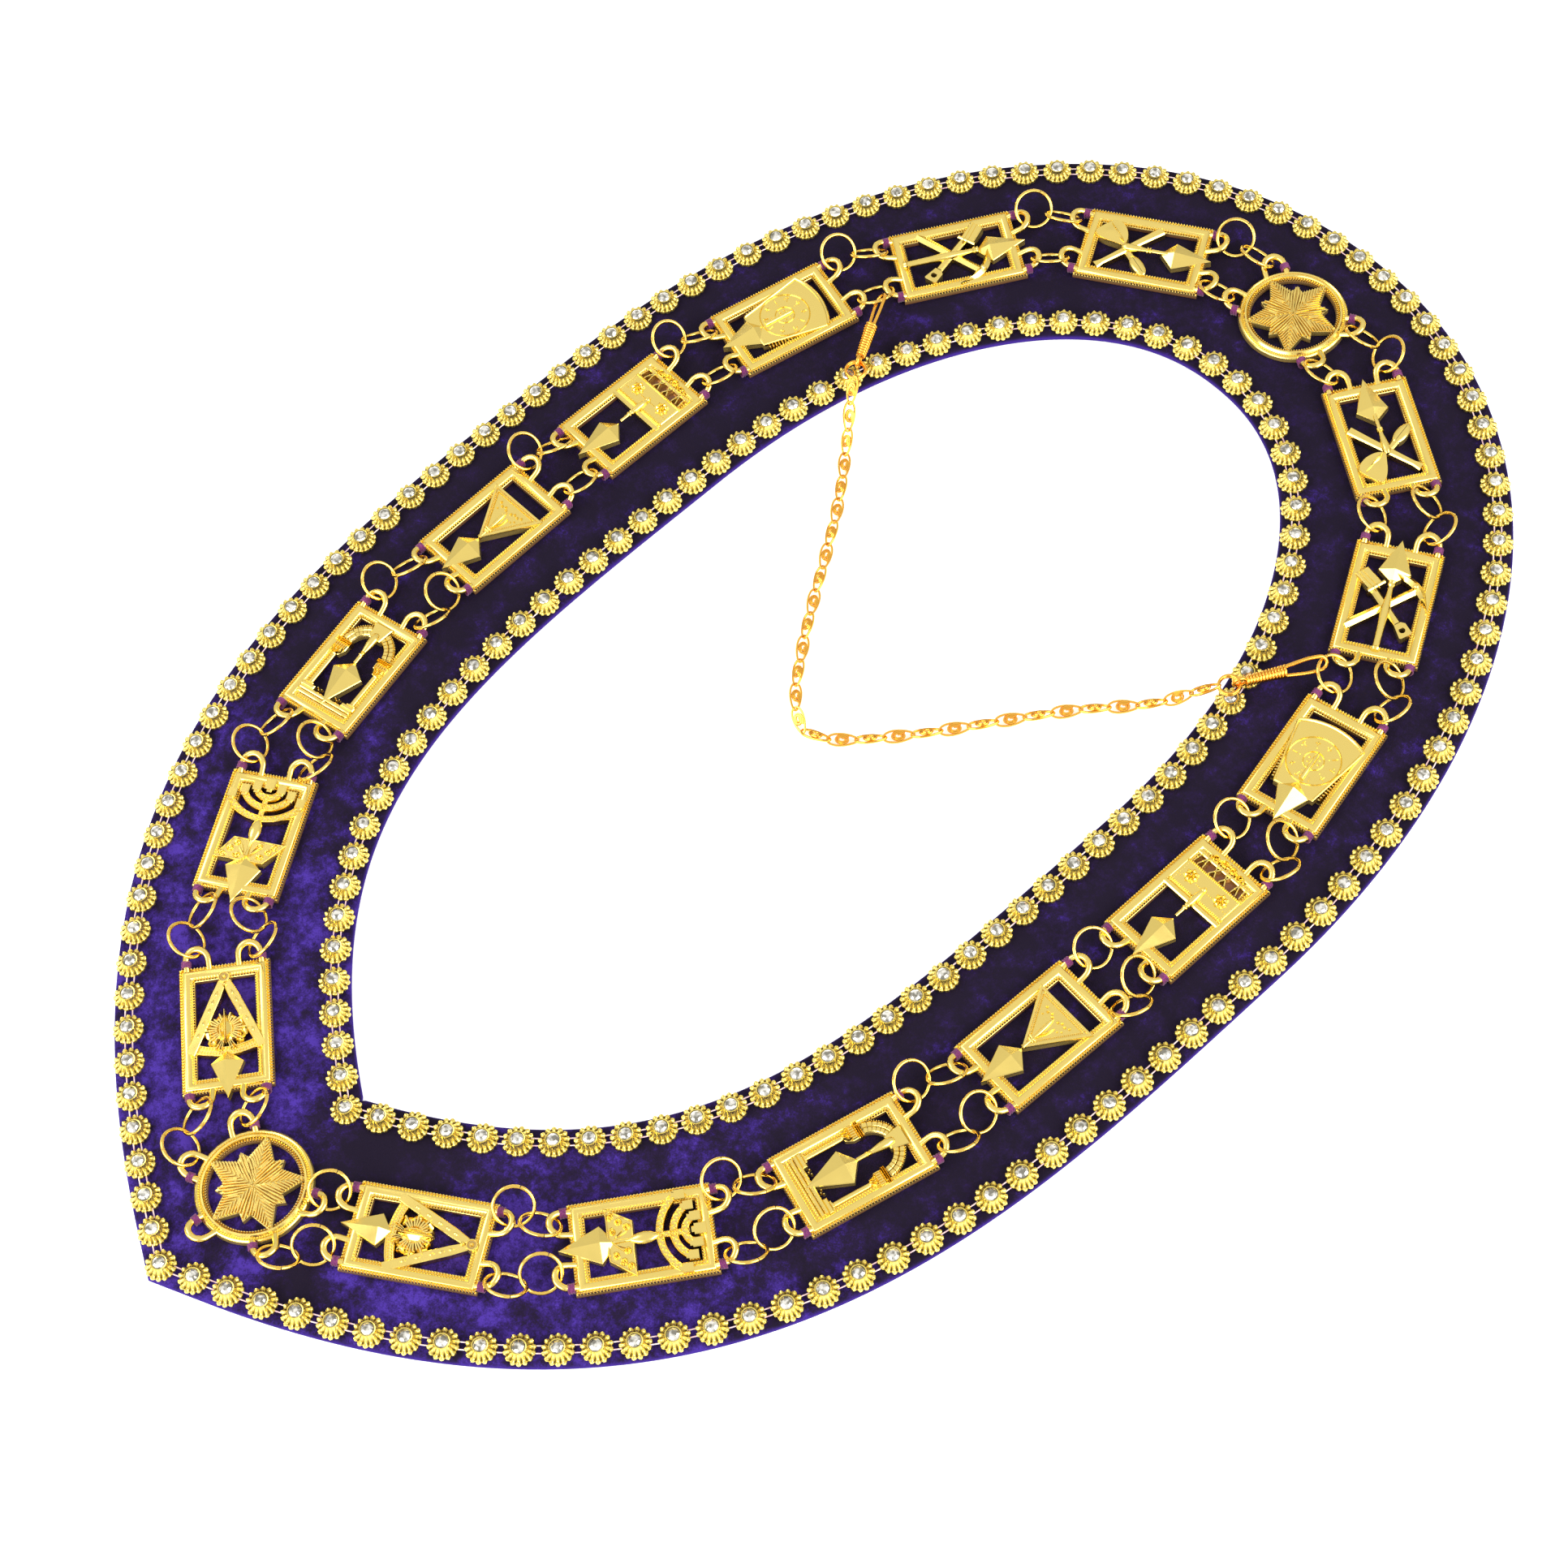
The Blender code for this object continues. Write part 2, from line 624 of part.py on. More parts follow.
def shovel():
    """A shovel and a crowbar crossed over a spoon, with the blade toward the neck."""
    heart = [at(-0.30, -1.04), at(0.30, -0.98), at(0.42, -0.50), at(0.05, -0.30), at(-0.50, -0.46)]
    return [
        bar(at(-0.96, -0.98), at(0.96, 1.02), HANDLE_WIDTH, RELIEF_LOW, RELIEF_MID),
        bar(at(0.02, -0.5), at(-0.98, 1.02), HANDLE_WIDTH, RELIEF_LOW * 2, RELIEF_MID + 2 * RELIEF_STEP),
        prism(heart, RELIEF_LOW * 1.5, RELIEF_HIGH - 2 * RELIEF_STEP),
        bar(at(0.98, -0.90), at(0.0, 0.20), HANDLE_WIDTH, RELIEF_LOW * 3, RELIEF_HIGH),
        blade(at(0.10, 0.05), at(0.24, 1.34)),
    ]


EMBLEMS = {
    "compasses": compasses,
    "candelabrum": candelabrum,
    "arch": arch,
    "triangle": triangle,
    "chest": chest,
    "keystone": keystone,
    "mallet": mallet,
    "shovel": shovel,
}


def plate_mesh(emblem):
    """A frame with its loops and its emblem, as one casting."""
    return joined("plate_" + emblem, [frame_mesh(), *plate_loops(), *EMBLEMS[emblem]()])


def star_disc_mesh(name, with_drop, lead):
    """A round frame with its loops, a star of five long rays that reach it and five short ones between."""
    reach = DISC_RADIUS - DISC_BAR * 0.7
    valley = 0.40 * reach
    reaches = (reach, valley, 0.60 * reach, valley)
    rays = star((0.0, 0.0), reaches, 5, RELIEF_LOW, RELIEF_FLAT, lead, PEAK_RISE)
    return joined(name, [disc_mesh(), rays, *disc_loops(with_drop)])


# Jump rings

def hole_on_plate(centre, ahead, side, end):
    """The middle of a loop's hole, for the loop on the side and at the end that the two signs give."""
    right = np.array([ahead[1], -ahead[0]])
    plan = centre + right * side * LOOP_SPACING / 2 + ahead * end * (PLATE_LENGTH / 2 + HOLE_REACH)
    return np.array([plan[0], plan[1] + DISC_Y, HOLE_HEIGHT])


def hole_on_disc(height, angle):
    """The middle of the hole of a disc's loop on the +X side."""
    reach = DISC_RADIUS + HOLE_REACH
    return np.array([reach * math.cos(angle), height + reach * math.sin(angle) + DISC_Y, HOLE_HEIGHT])


def ring_between(start, end, big_side):
    """Centre of a ring through two points, with the two directions of its plane. Its longer arc leans up
    toward big_side, as far as the shorter one has room to dip above the band."""
    chord = end - start
    length = np.linalg.norm(chord)
    chord = chord / length
    side = np.cross(UP, chord)
    side = side / np.linalg.norm(side)
    if side @ big_side < 0:
        side = -side
    away = math.sqrt(max(RING_RADIUS**2 - length**2 / 4, 0.0))
    room = min(start[2], end[2]) - RING_WIRE / 2 - SEAT_GAP - BAND_TOP
    lean = min(RING_LEAN, math.asin(min(room / (RING_RADIUS - away), 1.0)))
    tilt = side * math.cos(lean) + UP * math.sin(lean)
    return (start + end) / 2 + away * tilt, chord, tilt


def leaning_ring(name, start, end, big_side, corner_at_end):
    """A ring through two points, with one of its corners at the start or the end."""
    centre, chord, tilt = ring_between(start, end, big_side)
    spoke = (end if corner_at_end else start) - centre
    turn = math.atan2(spoke @ tilt, spoke @ chord)
    return wire_ring(name, centre, chord, tilt, RING_RADIUS, RING_WIRE, turn)


def ring_count(span):
    """How many linked rings reach across two loop holes."""
    if span <= 2 * (RING_RADIUS + RING_PLAY):
        return 1
    return max(2, math.ceil((span - 2 * RING_PLAY) / (2 * RING_RADIUS * LONGEST_CHORD)))


def ring_ends(first, second):
    """Where the end rings' wires pass the two holes, pulled apart or together along the loops' slope."""
    span = np.linalg.norm(second - first)
    ahead = (second - first) / span
    count = ring_count(span)
    loose = 2 * RING_RADIUS * (SINGLE_CHORD if count == 1 else count * LONGEST_CHORD)
    tight = 2 * RING_RADIUS * count * SHORTEST_CHORD
    shift = (span - np.clip(span, tight, loose)) / 2
    shift = np.clip(shift, -RING_PLAY, RING_PLAY)
    rise = UP * shift * math.tan(LOOP_RISE)
    return first + shift * ahead + rise, second - shift * ahead + rise, count


def ring_spans(first, second, bow_side):
    """For each ring between two loop holes: its start and end, and the side that it leans to. Every second
    ring leans to the other side, and linked rings bow out where they meet."""
    start, end, count = ring_ends(first, second)
    step = (end - start) / count
    overlap = LINK_OVERLAP * RING_WIRE * step / np.linalg.norm(step)
    spans = []
    for number in range(count):
        here = start + step * number + RING_BOW * (number % 2) * bow_side
        there = start + step * (number + 1) + RING_BOW * ((number + 1) % 2) * bow_side
        here = here - overlap if number > 0 else start
        there = there + overlap if number < count - 1 else end
        spans.append((here, there, bow_side if number % 2 == 0 else -bow_side))
    return spans


def connection_mesh(name, first, second, bow_side):
    """The ring or the linked rings between two loop holes."""
    spans = ring_spans(first, second, bow_side)
    rings = []
    for number, (here, there, side) in enumerate(spans):
        corner_at_end = number == 0 and len(spans) > 1
        rings.append(leaning_ring(f"{name}_{number}", here, there, side, corner_at_end))
    return rings[0] if len(rings) == 1 else joined(name, rings)


# Safety chain and snap hooks

def smooth_line(points, count):
    """A smooth line through the points (Catmull-Rom), with count points at equal steps."""
    points = np.asarray(points, float)
    padded = np.vstack([2 * points[0] - points[1], points, 2 * points[-1] - points[-2]])
    part = np.linspace(0, 1, 16, endpoint=False)[:, None]
    pieces = []
    for number in range(len(points) - 1):
        before, here, there, after = padded[number : number + 4]
        bend = 2 * before - 5 * here + 4 * there - after
        twist = -before + 3 * here - 3 * there + after
        pieces.append(0.5 * (2 * here + (there - before) * part + bend * part**2 + twist * part**3))
    return evenly(np.vstack([*pieces, points[-1:]]), count)


def mirrored(point):
    """The same place on the other side of the collar."""
    return np.array([-point[0], point[1], point[2]])


def in_part_frame(points):
    """Points given from the point disc's centre, moved into the part's frame."""
    return np.array(points) + (0.0, DISC_Y, 0.0)


def half_chain(end_ring):
    """Half of the chain's run. It moves more and more with the end ring, and its end moves as the ring does."""
    listed = in_part_frame(CHAIN_ROUTE)
    run = listed[:-1]
    share = np.linspace(0, 1, len(run))[:, None]
    return list(run + share**2 * (end_ring - listed[-1]))


def chain_mesh(end_ring):
    """The safety chain as a tube, with the ring at each end."""
    half = half_chain(end_ring)
    route = [mirrored(point) for point in half[:0:-1]] + half
    curve = bpy.data.curves.new("safety_chain", "CURVE")
    curve.dimensions = "3D"
    curve.bevel_depth = CHAIN_DIAMETER / 2
    curve.bevel_resolution = (CHAIN_SIDES - 4) // 2
    curve.use_fill_caps = True
    points = smooth_line(route, CHAIN_POINTS)
    spline = curve.splines.new("POLY")
    spline.points.add(len(points) - 1)
    for place, point in zip(spline.points, points):
        place.co = (*point, 1.0)
    holder = bpy.data.objects.new("safety_chain_run", curve)
    bpy.context.collection.objects.link(holder)
    graph = bpy.context.evaluated_depsgraph_get()
    tube = bpy.data.meshes.new_from_object(holder.evaluated_get(graph))
    bpy.data.objects.remove(holder, do_unlink=True)
    east = np.array([1.0, 0.0, 0.0])
    north = np.array([0.0, 1.0, 0.0])
    rings = [
        wire_ring("end_ring", place, east, north, END_RING_RADIUS, END_RING_WIRE)
        for place in (end_ring, mirrored(end_ring))
    ]
    return joined("safety_chain", [tube, *rings])


def clasp_mesh(name, hooked_on, end_ring):
    """A snap hook: a hook round the jump ring's wire, a coiled shank, and an eye round the end ring's."""
    flat = end_ring - hooked_on
    flat[2] = 0.0
    eye_distance = np.linalg.norm(flat) - END_RING_RADIUS
    flat = flat / np.linalg.norm(flat)
    eye = hooked_on + flat * eye_distance
    eye[2] = end_ring[2]
    along = (eye - hooked_on) / np.linalg.norm(eye - hooked_on)
    sideways = np.cross(along, UP)
    sideways = sideways / np.linalg.norm(sideways)
    above = np.cross(sideways, along)
    length = np.linalg.norm(eye - hooked_on)
    coil_end = length - CLASP_EYE_RADIUS
    coil_start = coil_end - CLASP_COIL_LENGTH
    plan = [(coil_start + CLASP_WIRE, 0.35 * CLASP_HOOK_RADIUS), (CLASP_NECK * 0.55, CLASP_HOOK_RADIUS)]
    for step in range(5):
        angle = math.pi / 2 + math.pi * step / 4
        plan.append((CLASP_HOOK_RADIUS * math.cos(angle), CLASP_HOOK_RADIUS * math.sin(angle)))
    plan.append((CLASP_NECK * 0.55, -CLASP_HOOK_RADIUS))
    plan.append((coil_start + CLASP_WIRE, -0.35 * CLASP_HOOK_RADIUS))
    path = [hooked_on + along * away + above * high for away, high in plan]
    hook = swept(name, path, frames_along(path, sideways), CLASP_WIRE / 2, CLASP_WIRE / 2, WIRE_SIDES)
    shank = []
    for away, radius in ((coil_start, CLASP_COIL_FRONT), (coil_end, CLASP_COIL_BACK)):
        angles = 2 * math.pi * np.arange(10) / 10
        ring = np.outer(np.cos(angles), sideways) + np.outer(np.sin(angles), above)
        shank.append(hooked_on + along * away + radius * ring)
    coil = lofted("coil", shank, ring=False)
    loop = wire_ring("eye", eye, along, above, CLASP_EYE_RADIUS, CLASP_WIRE)
    return joined(name, [coil, hook, loop])


def node(name, mesh, finish, place=None):
    """One named object for a sub-part."""
    obj = bpy.data.objects.new(name, mesh)
    if not mesh.materials:
        mesh.materials.append(finish)
    if place is not None:
        obj.matrix_world = place
    bpy.context.collection.objects.link(obj)
    return obj


def smooth(mesh, angle):
    """Round pieces are shaded smooth, with edges sharper than the angle kept."""
    mesh.shade_smooth()
    mesh.set_sharp_from_angle(angle=angle)


def plate_place(centre, ahead):
    """A plate's place: its length turned to the run's direction, its underside just above the band."""
    turn = math.atan2(ahead[1], ahead[0]) - math.pi / 2
    spot = Vector((centre[0], centre[1] + DISC_Y, PLATE_FLOOR))
    return Matrix.Translation(spot) @ Matrix.Rotation(turn, 4, "Z")


def build_plates(gold):
    """The sixteen rectangular plates, a pair for each emblem, and the two discs."""
    for emblem, share, outward in PLATES:
        centre, ahead = place_on_run(share, outward)
        mesh = plate_mesh(emblem)
        node("plate_right_" + emblem, mesh, gold, plate_place(centre, ahead))
        flip = np.array([-1.0, 1.0])
        node("plate_left_" + emblem, mesh, gold, plate_place(centre * flip, ahead * flip))
    for name, height, with_drop, lead in (
        ("point_disc", 0.0, True, -math.pi / 2),
        ("neck_disc", NECK_HEIGHT, False, math.pi / 2),
    ):
        mesh = star_disc_mesh(name, with_drop, lead)
        node(name, mesh, gold, Matrix.Translation((0.0, height + DISC_Y, PLATE_FLOOR)))


def gap_holes(track):
    """Pairs of loop holes across the nine gaps of the +X side, on the outer (1) or inner (-1) track."""
    holes = [hole_on_disc(0.0, -track * DISC_LOOP_ANGLE)]
    for _, share, outward in PLATES:
        centre, ahead = place_on_run(share, outward)
        holes.append(hole_on_plate(centre, ahead, track, -1))
        holes.append(hole_on_plate(centre, ahead, track, 1))
    holes.append(hole_on_disc(NECK_HEIGHT, track * DISC_LOOP_ANGLE))
    return list(zip(holes[::2], holes[1::2]))


def outward_at(first, second, track):
    """The level direction away from the other track, for the rings between two holes."""
    ahead = (second - first) / np.linalg.norm(second - first)
    return track * np.array([ahead[1], -ahead[0], 0.0])


def build_rings(gold):
    """The jump rings of every gap, both tracks and both sides."""
    for track, track_name in ((1, "outer"), (-1, "inner")):
        for gap, (first, second) in enumerate(gap_holes(track)):
            side = outward_at(first, second, track)
            for name, turned in (("right", np.array), ("left", mirrored)):
                label = f"rings_{name}_{track_name}_{gap + 1}"
                mesh = connection_mesh(label, turned(first), turned(second), turned(side))
                smooth(mesh, math.radians(80))
                node(label, mesh, gold)


def clasp_places():
    """Where the clasp holds the first jump ring of its gap, at the top of the ring's longer arc, and the
    end ring's centre, a clasp away and swung from the ring's own direction toward the point."""
    first, second = gap_holes(-1)[CLASP_GAP]
    centre, _, tilt = ring_between(*ring_spans(first, second, outward_at(first, second, -1))[0])
    hooked = centre + RING_RADIUS * tilt
    heading = math.atan2(tilt[1], tilt[0]) + CLASP_SWING
    end_ring = hooked + CLASP_SPAN * np.array([math.cos(heading), math.sin(heading), 0.0])
    end_ring[2] = in_part_frame(CHAIN_ROUTE)[-1][2]
    return hooked, end_ring


def build():
    clear_scene()
    velvet = material("velvet", (0.035, 0.012, 0.120), 0.0, 0.9)
    gold = material("gold_plate", (0.88, 0.62, 0.20), 1.0, 0.25)
    stone = material("trim_gold", (0.86, 0.68, 0.34), 1.0, 0.3)
    node("velvet_band", band_mesh(), velvet)
    trim_line = BAND_WIDTH / 2 - TRIM_INSET
    node("outer_trim", trim_mesh("outer_trim", trim_line, OUTER_TRIM_HALF_SECTIONS), stone)
    node("inner_trim", trim_mesh("inner_trim", -trim_line, INNER_TRIM_HALF_SECTIONS), stone)
    build_plates(gold)
    build_rings(gold)
    hooked, end_ring = clasp_places()
    chain = chain_mesh(end_ring)
    smooth(chain, math.radians(50))
    node("safety_chain", chain, gold)
    node("right_clasp", clasp_mesh("right_clasp", hooked, end_ring), gold)
    node("left_clasp", clasp_mesh("left_clasp", mirrored(hooked), mirrored(end_ring)), gold)


build()
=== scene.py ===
# %% [markdown]
# A ceremonial chain collar, dressed for a photograph.
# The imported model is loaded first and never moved. Every new piece is worked out with numpy as whole
# arrays, in metres, in the same frame: +Y runs from the collar's point to its neck, and +Z is up.

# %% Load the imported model
import math
from collections import namedtuple

import bpy
import numpy as np
from mathutils import Matrix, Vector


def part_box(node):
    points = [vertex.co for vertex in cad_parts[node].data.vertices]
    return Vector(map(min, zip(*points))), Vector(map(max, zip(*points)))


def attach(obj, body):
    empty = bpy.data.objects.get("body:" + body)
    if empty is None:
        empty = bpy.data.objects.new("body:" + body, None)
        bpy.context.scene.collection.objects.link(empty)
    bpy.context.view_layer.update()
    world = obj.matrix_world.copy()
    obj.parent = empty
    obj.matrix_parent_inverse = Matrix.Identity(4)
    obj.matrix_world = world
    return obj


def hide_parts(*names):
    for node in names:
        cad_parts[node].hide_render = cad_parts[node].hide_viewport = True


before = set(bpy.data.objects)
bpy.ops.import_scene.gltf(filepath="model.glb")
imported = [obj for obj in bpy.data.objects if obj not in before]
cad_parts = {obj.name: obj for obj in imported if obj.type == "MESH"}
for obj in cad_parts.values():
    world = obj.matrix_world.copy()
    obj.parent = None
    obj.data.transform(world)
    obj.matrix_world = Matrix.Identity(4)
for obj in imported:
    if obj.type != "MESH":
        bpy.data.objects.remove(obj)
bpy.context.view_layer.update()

# %% [markdown]
# The camera comes first, because everything is judged through it. The photograph was taken from the
# collar's lower right, about 61 degrees above the table, with a long lens and the camera a little
# tilted. The lens is given by its focal length in pixels of the photograph.

# %% Camera
PHOTO_SIDE = 1932
FOCAL_PIXELS = 3979.15
SENSOR_WIDTH = 36.0
CAMERA_PLACE = np.array([0.4394, -0.29493, 0.9317])
CAMERA_YAW = math.radians(-57.0033)
CAMERA_DOWN = math.radians(61.1783)
CAMERA_ROLL = math.radians(-10.4840)

view = np.array([
    math.sin(CAMERA_YAW) * math.cos(CAMERA_DOWN),
    math.cos(CAMERA_YAW) * math.cos(CAMERA_DOWN),
    -math.sin(CAMERA_DOWN),
])
level = np.array([math.cos(CAMERA_YAW), -math.sin(CAMERA_YAW), 0.0])
upright = np.cross(level, view)
right_hand = math.cos(CAMERA_ROLL) * level + math.sin(CAMERA_ROLL) * upright
up_hand = -math.sin(CAMERA_ROLL) * level + math.cos(CAMERA_ROLL) * upright

lens = bpy.data.cameras.new("camera")
lens.sensor_width = SENSOR_WIDTH
lens.lens = SENSOR_WIDTH * FOCAL_PIXELS / PHOTO_SIDE
lens.clip_start = 0.05


def in_scene(name, data):
    """A new object for a mesh, a lamp or a lens, linked to the scene."""
    obj = bpy.data.objects.new(name, data)
    bpy.context.collection.objects.link(obj)
    return obj


def aim(obj, place, across, up, away):
    """The object at a place, with its own x, y and z along three directions."""
    turn = Matrix(np.column_stack([across, up, away]).tolist())
    obj.matrix_world = Matrix.Translation(place) @ turn.to_4x4()


camera = in_scene("camera", lens)
aim(camera, CAMERA_PLACE, right_hand, up_hand, -view)
bpy.context.scene.camera = camera
print("lens", round(lens.lens, 2), "mm")

# %% [markdown]
# The collar follows one line: the middle of the velvet band's width. A Bezier curve leaves the point
# and climbs the side, and a superellipse, fuller than a circle, rounds the neck. All the plates, rings,
# trims and the band itself are placed by that line, so its sizes stand here once.

# %% The run of the band
MM = 0.001
HALF_WIDTH = 0.133
WIDEST_HEIGHT = 0.277
NECK_HEIGHT = 0.465
NECK_FULLNESS = 2.1
POINT_ANGLE = math.radians(25.25)
POINT_PULL = 0.153
SIDE_PULL = 0.116
BAND_WIDTH = 0.0775
MIDLINE_STEPS = 400
RUN_STEPS = 5 * MIDLINE_STEPS
RAIL_STEPS = 900
SEAM = 0.0004
UP = np.array([0.0, 0.0, 1.0])

BAND_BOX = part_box("velvet_band")
BAND_TOP = float(BAND_BOX[1][2])
BAND_MIDDLE = (float(BAND_BOX[0][1]) + float(BAND_BOX[1][1])) / 2
DISC_Y = BAND_MIDDLE - (NECK_HEIGHT + BAND_WIDTH / 2 - BAND_WIDTH / 2 / math.cos(POINT_ANGLE)) / 2
print("band", round(BAND_TOP / MM, 2), "mm thick; point disc at y", round(DISC_Y / MM, 2), "mm")


def unit(vectors):
    """Each vector divided by its own length."""
    vectors = np.asarray(vectors, float)
    return vectors / np.linalg.norm(vectors, axis=-1, keepdims=True)


def left_of(vectors):
    """Each flat vector turned a quarter to its left: (x, y) becomes (-y, x)."""
    return np.stack([-vectors[..., 1], vectors[..., 0]], -1)


def half_midline():
    """Cubic Bezier B(t) from the point to the widest place, then |x/a|^n + |y/b|^n = 1 to the neck."""
    part = np.linspace(0, 1, MIDLINE_STEPS + 1)[:, None]
    leave = POINT_PULL * np.array([math.cos(POINT_ANGLE), math.sin(POINT_ANGLE)])
    arrive = np.array([HALF_WIDTH, WIDEST_HEIGHT - SIDE_PULL])
    widest = np.array([HALF_WIDTH, WIDEST_HEIGHT])
    lower = 3 * (1 - part) ** 2 * part * leave + 3 * (1 - part) * part**2 * arrive + part**3 * widest
    angle = np.linspace(0, math.pi / 2, MIDLINE_STEPS + 1)[1:]
    power = 2 / NECK_FULLNESS
    across = HALF_WIDTH * np.clip(np.cos(angle), 0, 1) ** power
    along = WIDEST_HEIGHT + (NECK_HEIGHT - WIDEST_HEIGHT) * np.sin(angle) ** power
    return np.vstack([lower, np.stack([across, along], 1)])


def directions(line):
    """Unit directions ahead along a line, and to its right."""
    ahead = unit(np.gradient(line, axis=0))
    return ahead, -left_of(ahead)


def length_of(line):
    """The sum of the distances from point to point."""
    return np.linalg.norm(np.diff(line, axis=0), axis=1).sum()


def evenly(line, count):
    """The same line with count points at equal steps of its length."""
    run = np.concatenate([[0], np.cumsum(np.linalg.norm(np.diff(line, axis=0), axis=1))])
    wanted = np.linspace(0, run[-1], count)
    return np.stack([np.interp(wanted, run, line[:, axis]) for axis in range(line.shape[1])], 1)


def rail(offset, half_sections):
    """A closed line beside the midline at a distance, mitred at the point, anticlockwise from there."""
    line = half_midline()
    side = line + offset * directions(line)[1]
    side = side[side[:, 0] > SEAM]
    corner = [[0.0, -offset / math.cos(POINT_ANGLE)]]
    top = [[0.0, NECK_HEIGHT + offset]]
    half = evenly(np.vstack([corner, side, top]), half_sections + 1)
    whole = np.vstack([half, half[1:-1][::-1] * (-1, 1)])
    return whole + (0.0, DISC_Y)


print("midline", round(2 * length_of(half_midline()), 3), "m round")

# %% [markdown]
# One kind of surface is enough for nearly everything here: a loft. It is a grid of points over two
# parameters, where each row is a closed outline and the rows follow each other along a path. With ring
# set the last row joins the first, as on a jump ring, and otherwise a face closes each end. A shell
# also carries one number for each point, its painted shading: on the metal 0 on open faces and 1 in the
# depths and on the walls, where shade and the dim reflection of the velvet are painted in as a brown
# tint, and on the velvet the painted sheen of its turned edge. The finishes read it later. Faces marked
# flat stay facets.

# %% Shells: lofted surfaces as arrays
Shell = namedtuple("Shell", "points corners sizes tone flat")


def triangle_count(shell):
    """A face of n sides is cut into n - 2 triangles."""
    return int((shell.sizes - 2).sum())


def facing_out(shell):
    """The shell with its faces turned outward: the volume, a sum of p0 . (p1 x p2) / 6, is positive.

    The triangles of the sum fan out from each face's first corner.
    """
    size = np.repeat(shell.sizes, shell.sizes)
    start = np.repeat(np.cumsum(shell.sizes) - shell.sizes, shell.sizes)
    place = np.arange(len(shell.corners)) - start
    middle = np.flatnonzero((place >= 1) & (place <= size - 2))
    fan = shell.corners[np.stack([start[middle], middle, middle + 1])]
    p0, p1, p2 = shell.points[fan]
    if np.einsum("ij,ij->", p0, np.cross(p1, p2)) >= 0:
        return shell
    return shell._replace(corners=shell.corners[start + size - 1 - place])


def loft(sections, ring=False, tone=0.0, flat=False):
    """Quads between neighbouring sections of an array of rows by sides by 3, and a face on each end."""
    sections = np.asarray(sections, float)
    rows, sides = sections.shape[:2]
    row = np.arange(rows if ring else rows - 1)[:, None]
    side = np.arange(sides)[None, :]
    here = row * sides
    there = (row + 1) % rows * sides
    beside = (side + 1) % sides
    corners = np.stack([here + side, here + beside, there + beside, there + side], -1).ravel()
    sizes = np.full(len(corners) // 4, 4)
    if not ring:
        ends = [np.arange(sides)[::-1], (rows - 1) * sides + np.arange(sides)]
        corners = np.concatenate([corners, *ends])
        sizes = np.append(sizes, [sides, sides])
    depth = np.broadcast_to(tone, (rows, sides)).ravel().astype(float)
    return facing_out(Shell(sections.reshape(-1, 3), corners, sizes, depth, np.full(len(sizes), flat)))


def together(shells):
    """Many shells as one, each one's corner numbers raised by the points before it."""
    first = np.cumsum([0] + [len(shell.points) for shell in shells[:-1]])
    renumbered = [shell._replace(corners=shell.corners + start) for shell, start in zip(shells, first)]
    return Shell(*(np.concatenate(arrays) for arrays in zip(*renumbered)))


def copies(shell, spots, axes):
    """Copies of one small shell: each point becomes spot + x * axis0 + y * axis1 + z * axis2."""
    spots = np.asarray(spots, float)
    count = len(spots)
    axes = np.broadcast_to(axes, (count, 3, 3))
    points = np.einsum("pk,ckj->cpj", shell.points, axes) + spots[:, None]
    raised = np.arange(count)[:, None] * len(shell.points) + shell.corners[None]
    return Shell(points.reshape(-1, 3), raised.ravel(), np.tile(shell.sizes, count),
                 np.tile(shell.tone, count), np.tile(shell.flat, count))


def carried(path, profile, above, ring=False, tone=0.0, flat=False):
    """A profile of (across, above) carried along a path. At each point, across is ahead x above."""
    path = np.asarray(path, float)
    if ring:
        ahead = unit(np.roll(path, -1, 0) - np.roll(path, 1, 0))
    else:
        ahead = unit(np.gradient(path, axis=0))
    across = unit(np.cross(ahead, above))
    lifted = np.cross(across, ahead)
    profile = np.broadcast_to(profile, (len(path), *np.shape(profile)[-2:]))
    sections = path[:, None] + profile[..., :1] * across[:, None] + profile[..., 1:] * lifted[:, None]
    return loft(sections, ring, tone, flat)


def circle(radius, sides, squash=1.0):
    """A round profile: radius * (cos a, squash * sin a) for sides equal steps of the angle a."""
    angle = 2 * math.pi * np.arange(sides) / sides
    return np.multiply.outer(radius, np.stack([np.cos(angle), squash * np.sin(angle)], 1))


def around(angle, reach, height):
    """Points (reach * cos a, reach * sin a, height) on a polar grid, from arrays that fit each other."""
    return np.stack(np.broadcast_arrays(reach * np.cos(angle), reach * np.sin(angle), height), -1)


drum = carried([(0, 0, 0), (0, 0, 1)], circle(0.5, 8), (1, 0, 0))
print("a drum", np.round(np.ptp(drum.points, axis=0), 1), "has", triangle_count(drum), "triangles")

# %% [markdown]
# A shell becomes an object in one step. Its arrays go into the mesh with foreach_set, its painted shading
# becomes an attribute, and edges sharper than a given angle stay crisp while the rest is shaded smooth.
# The object sits at the origin with its place in its mesh, rides on the collar's one body and names the
# finish that it takes.

# %% From a shell to an object
made = {}


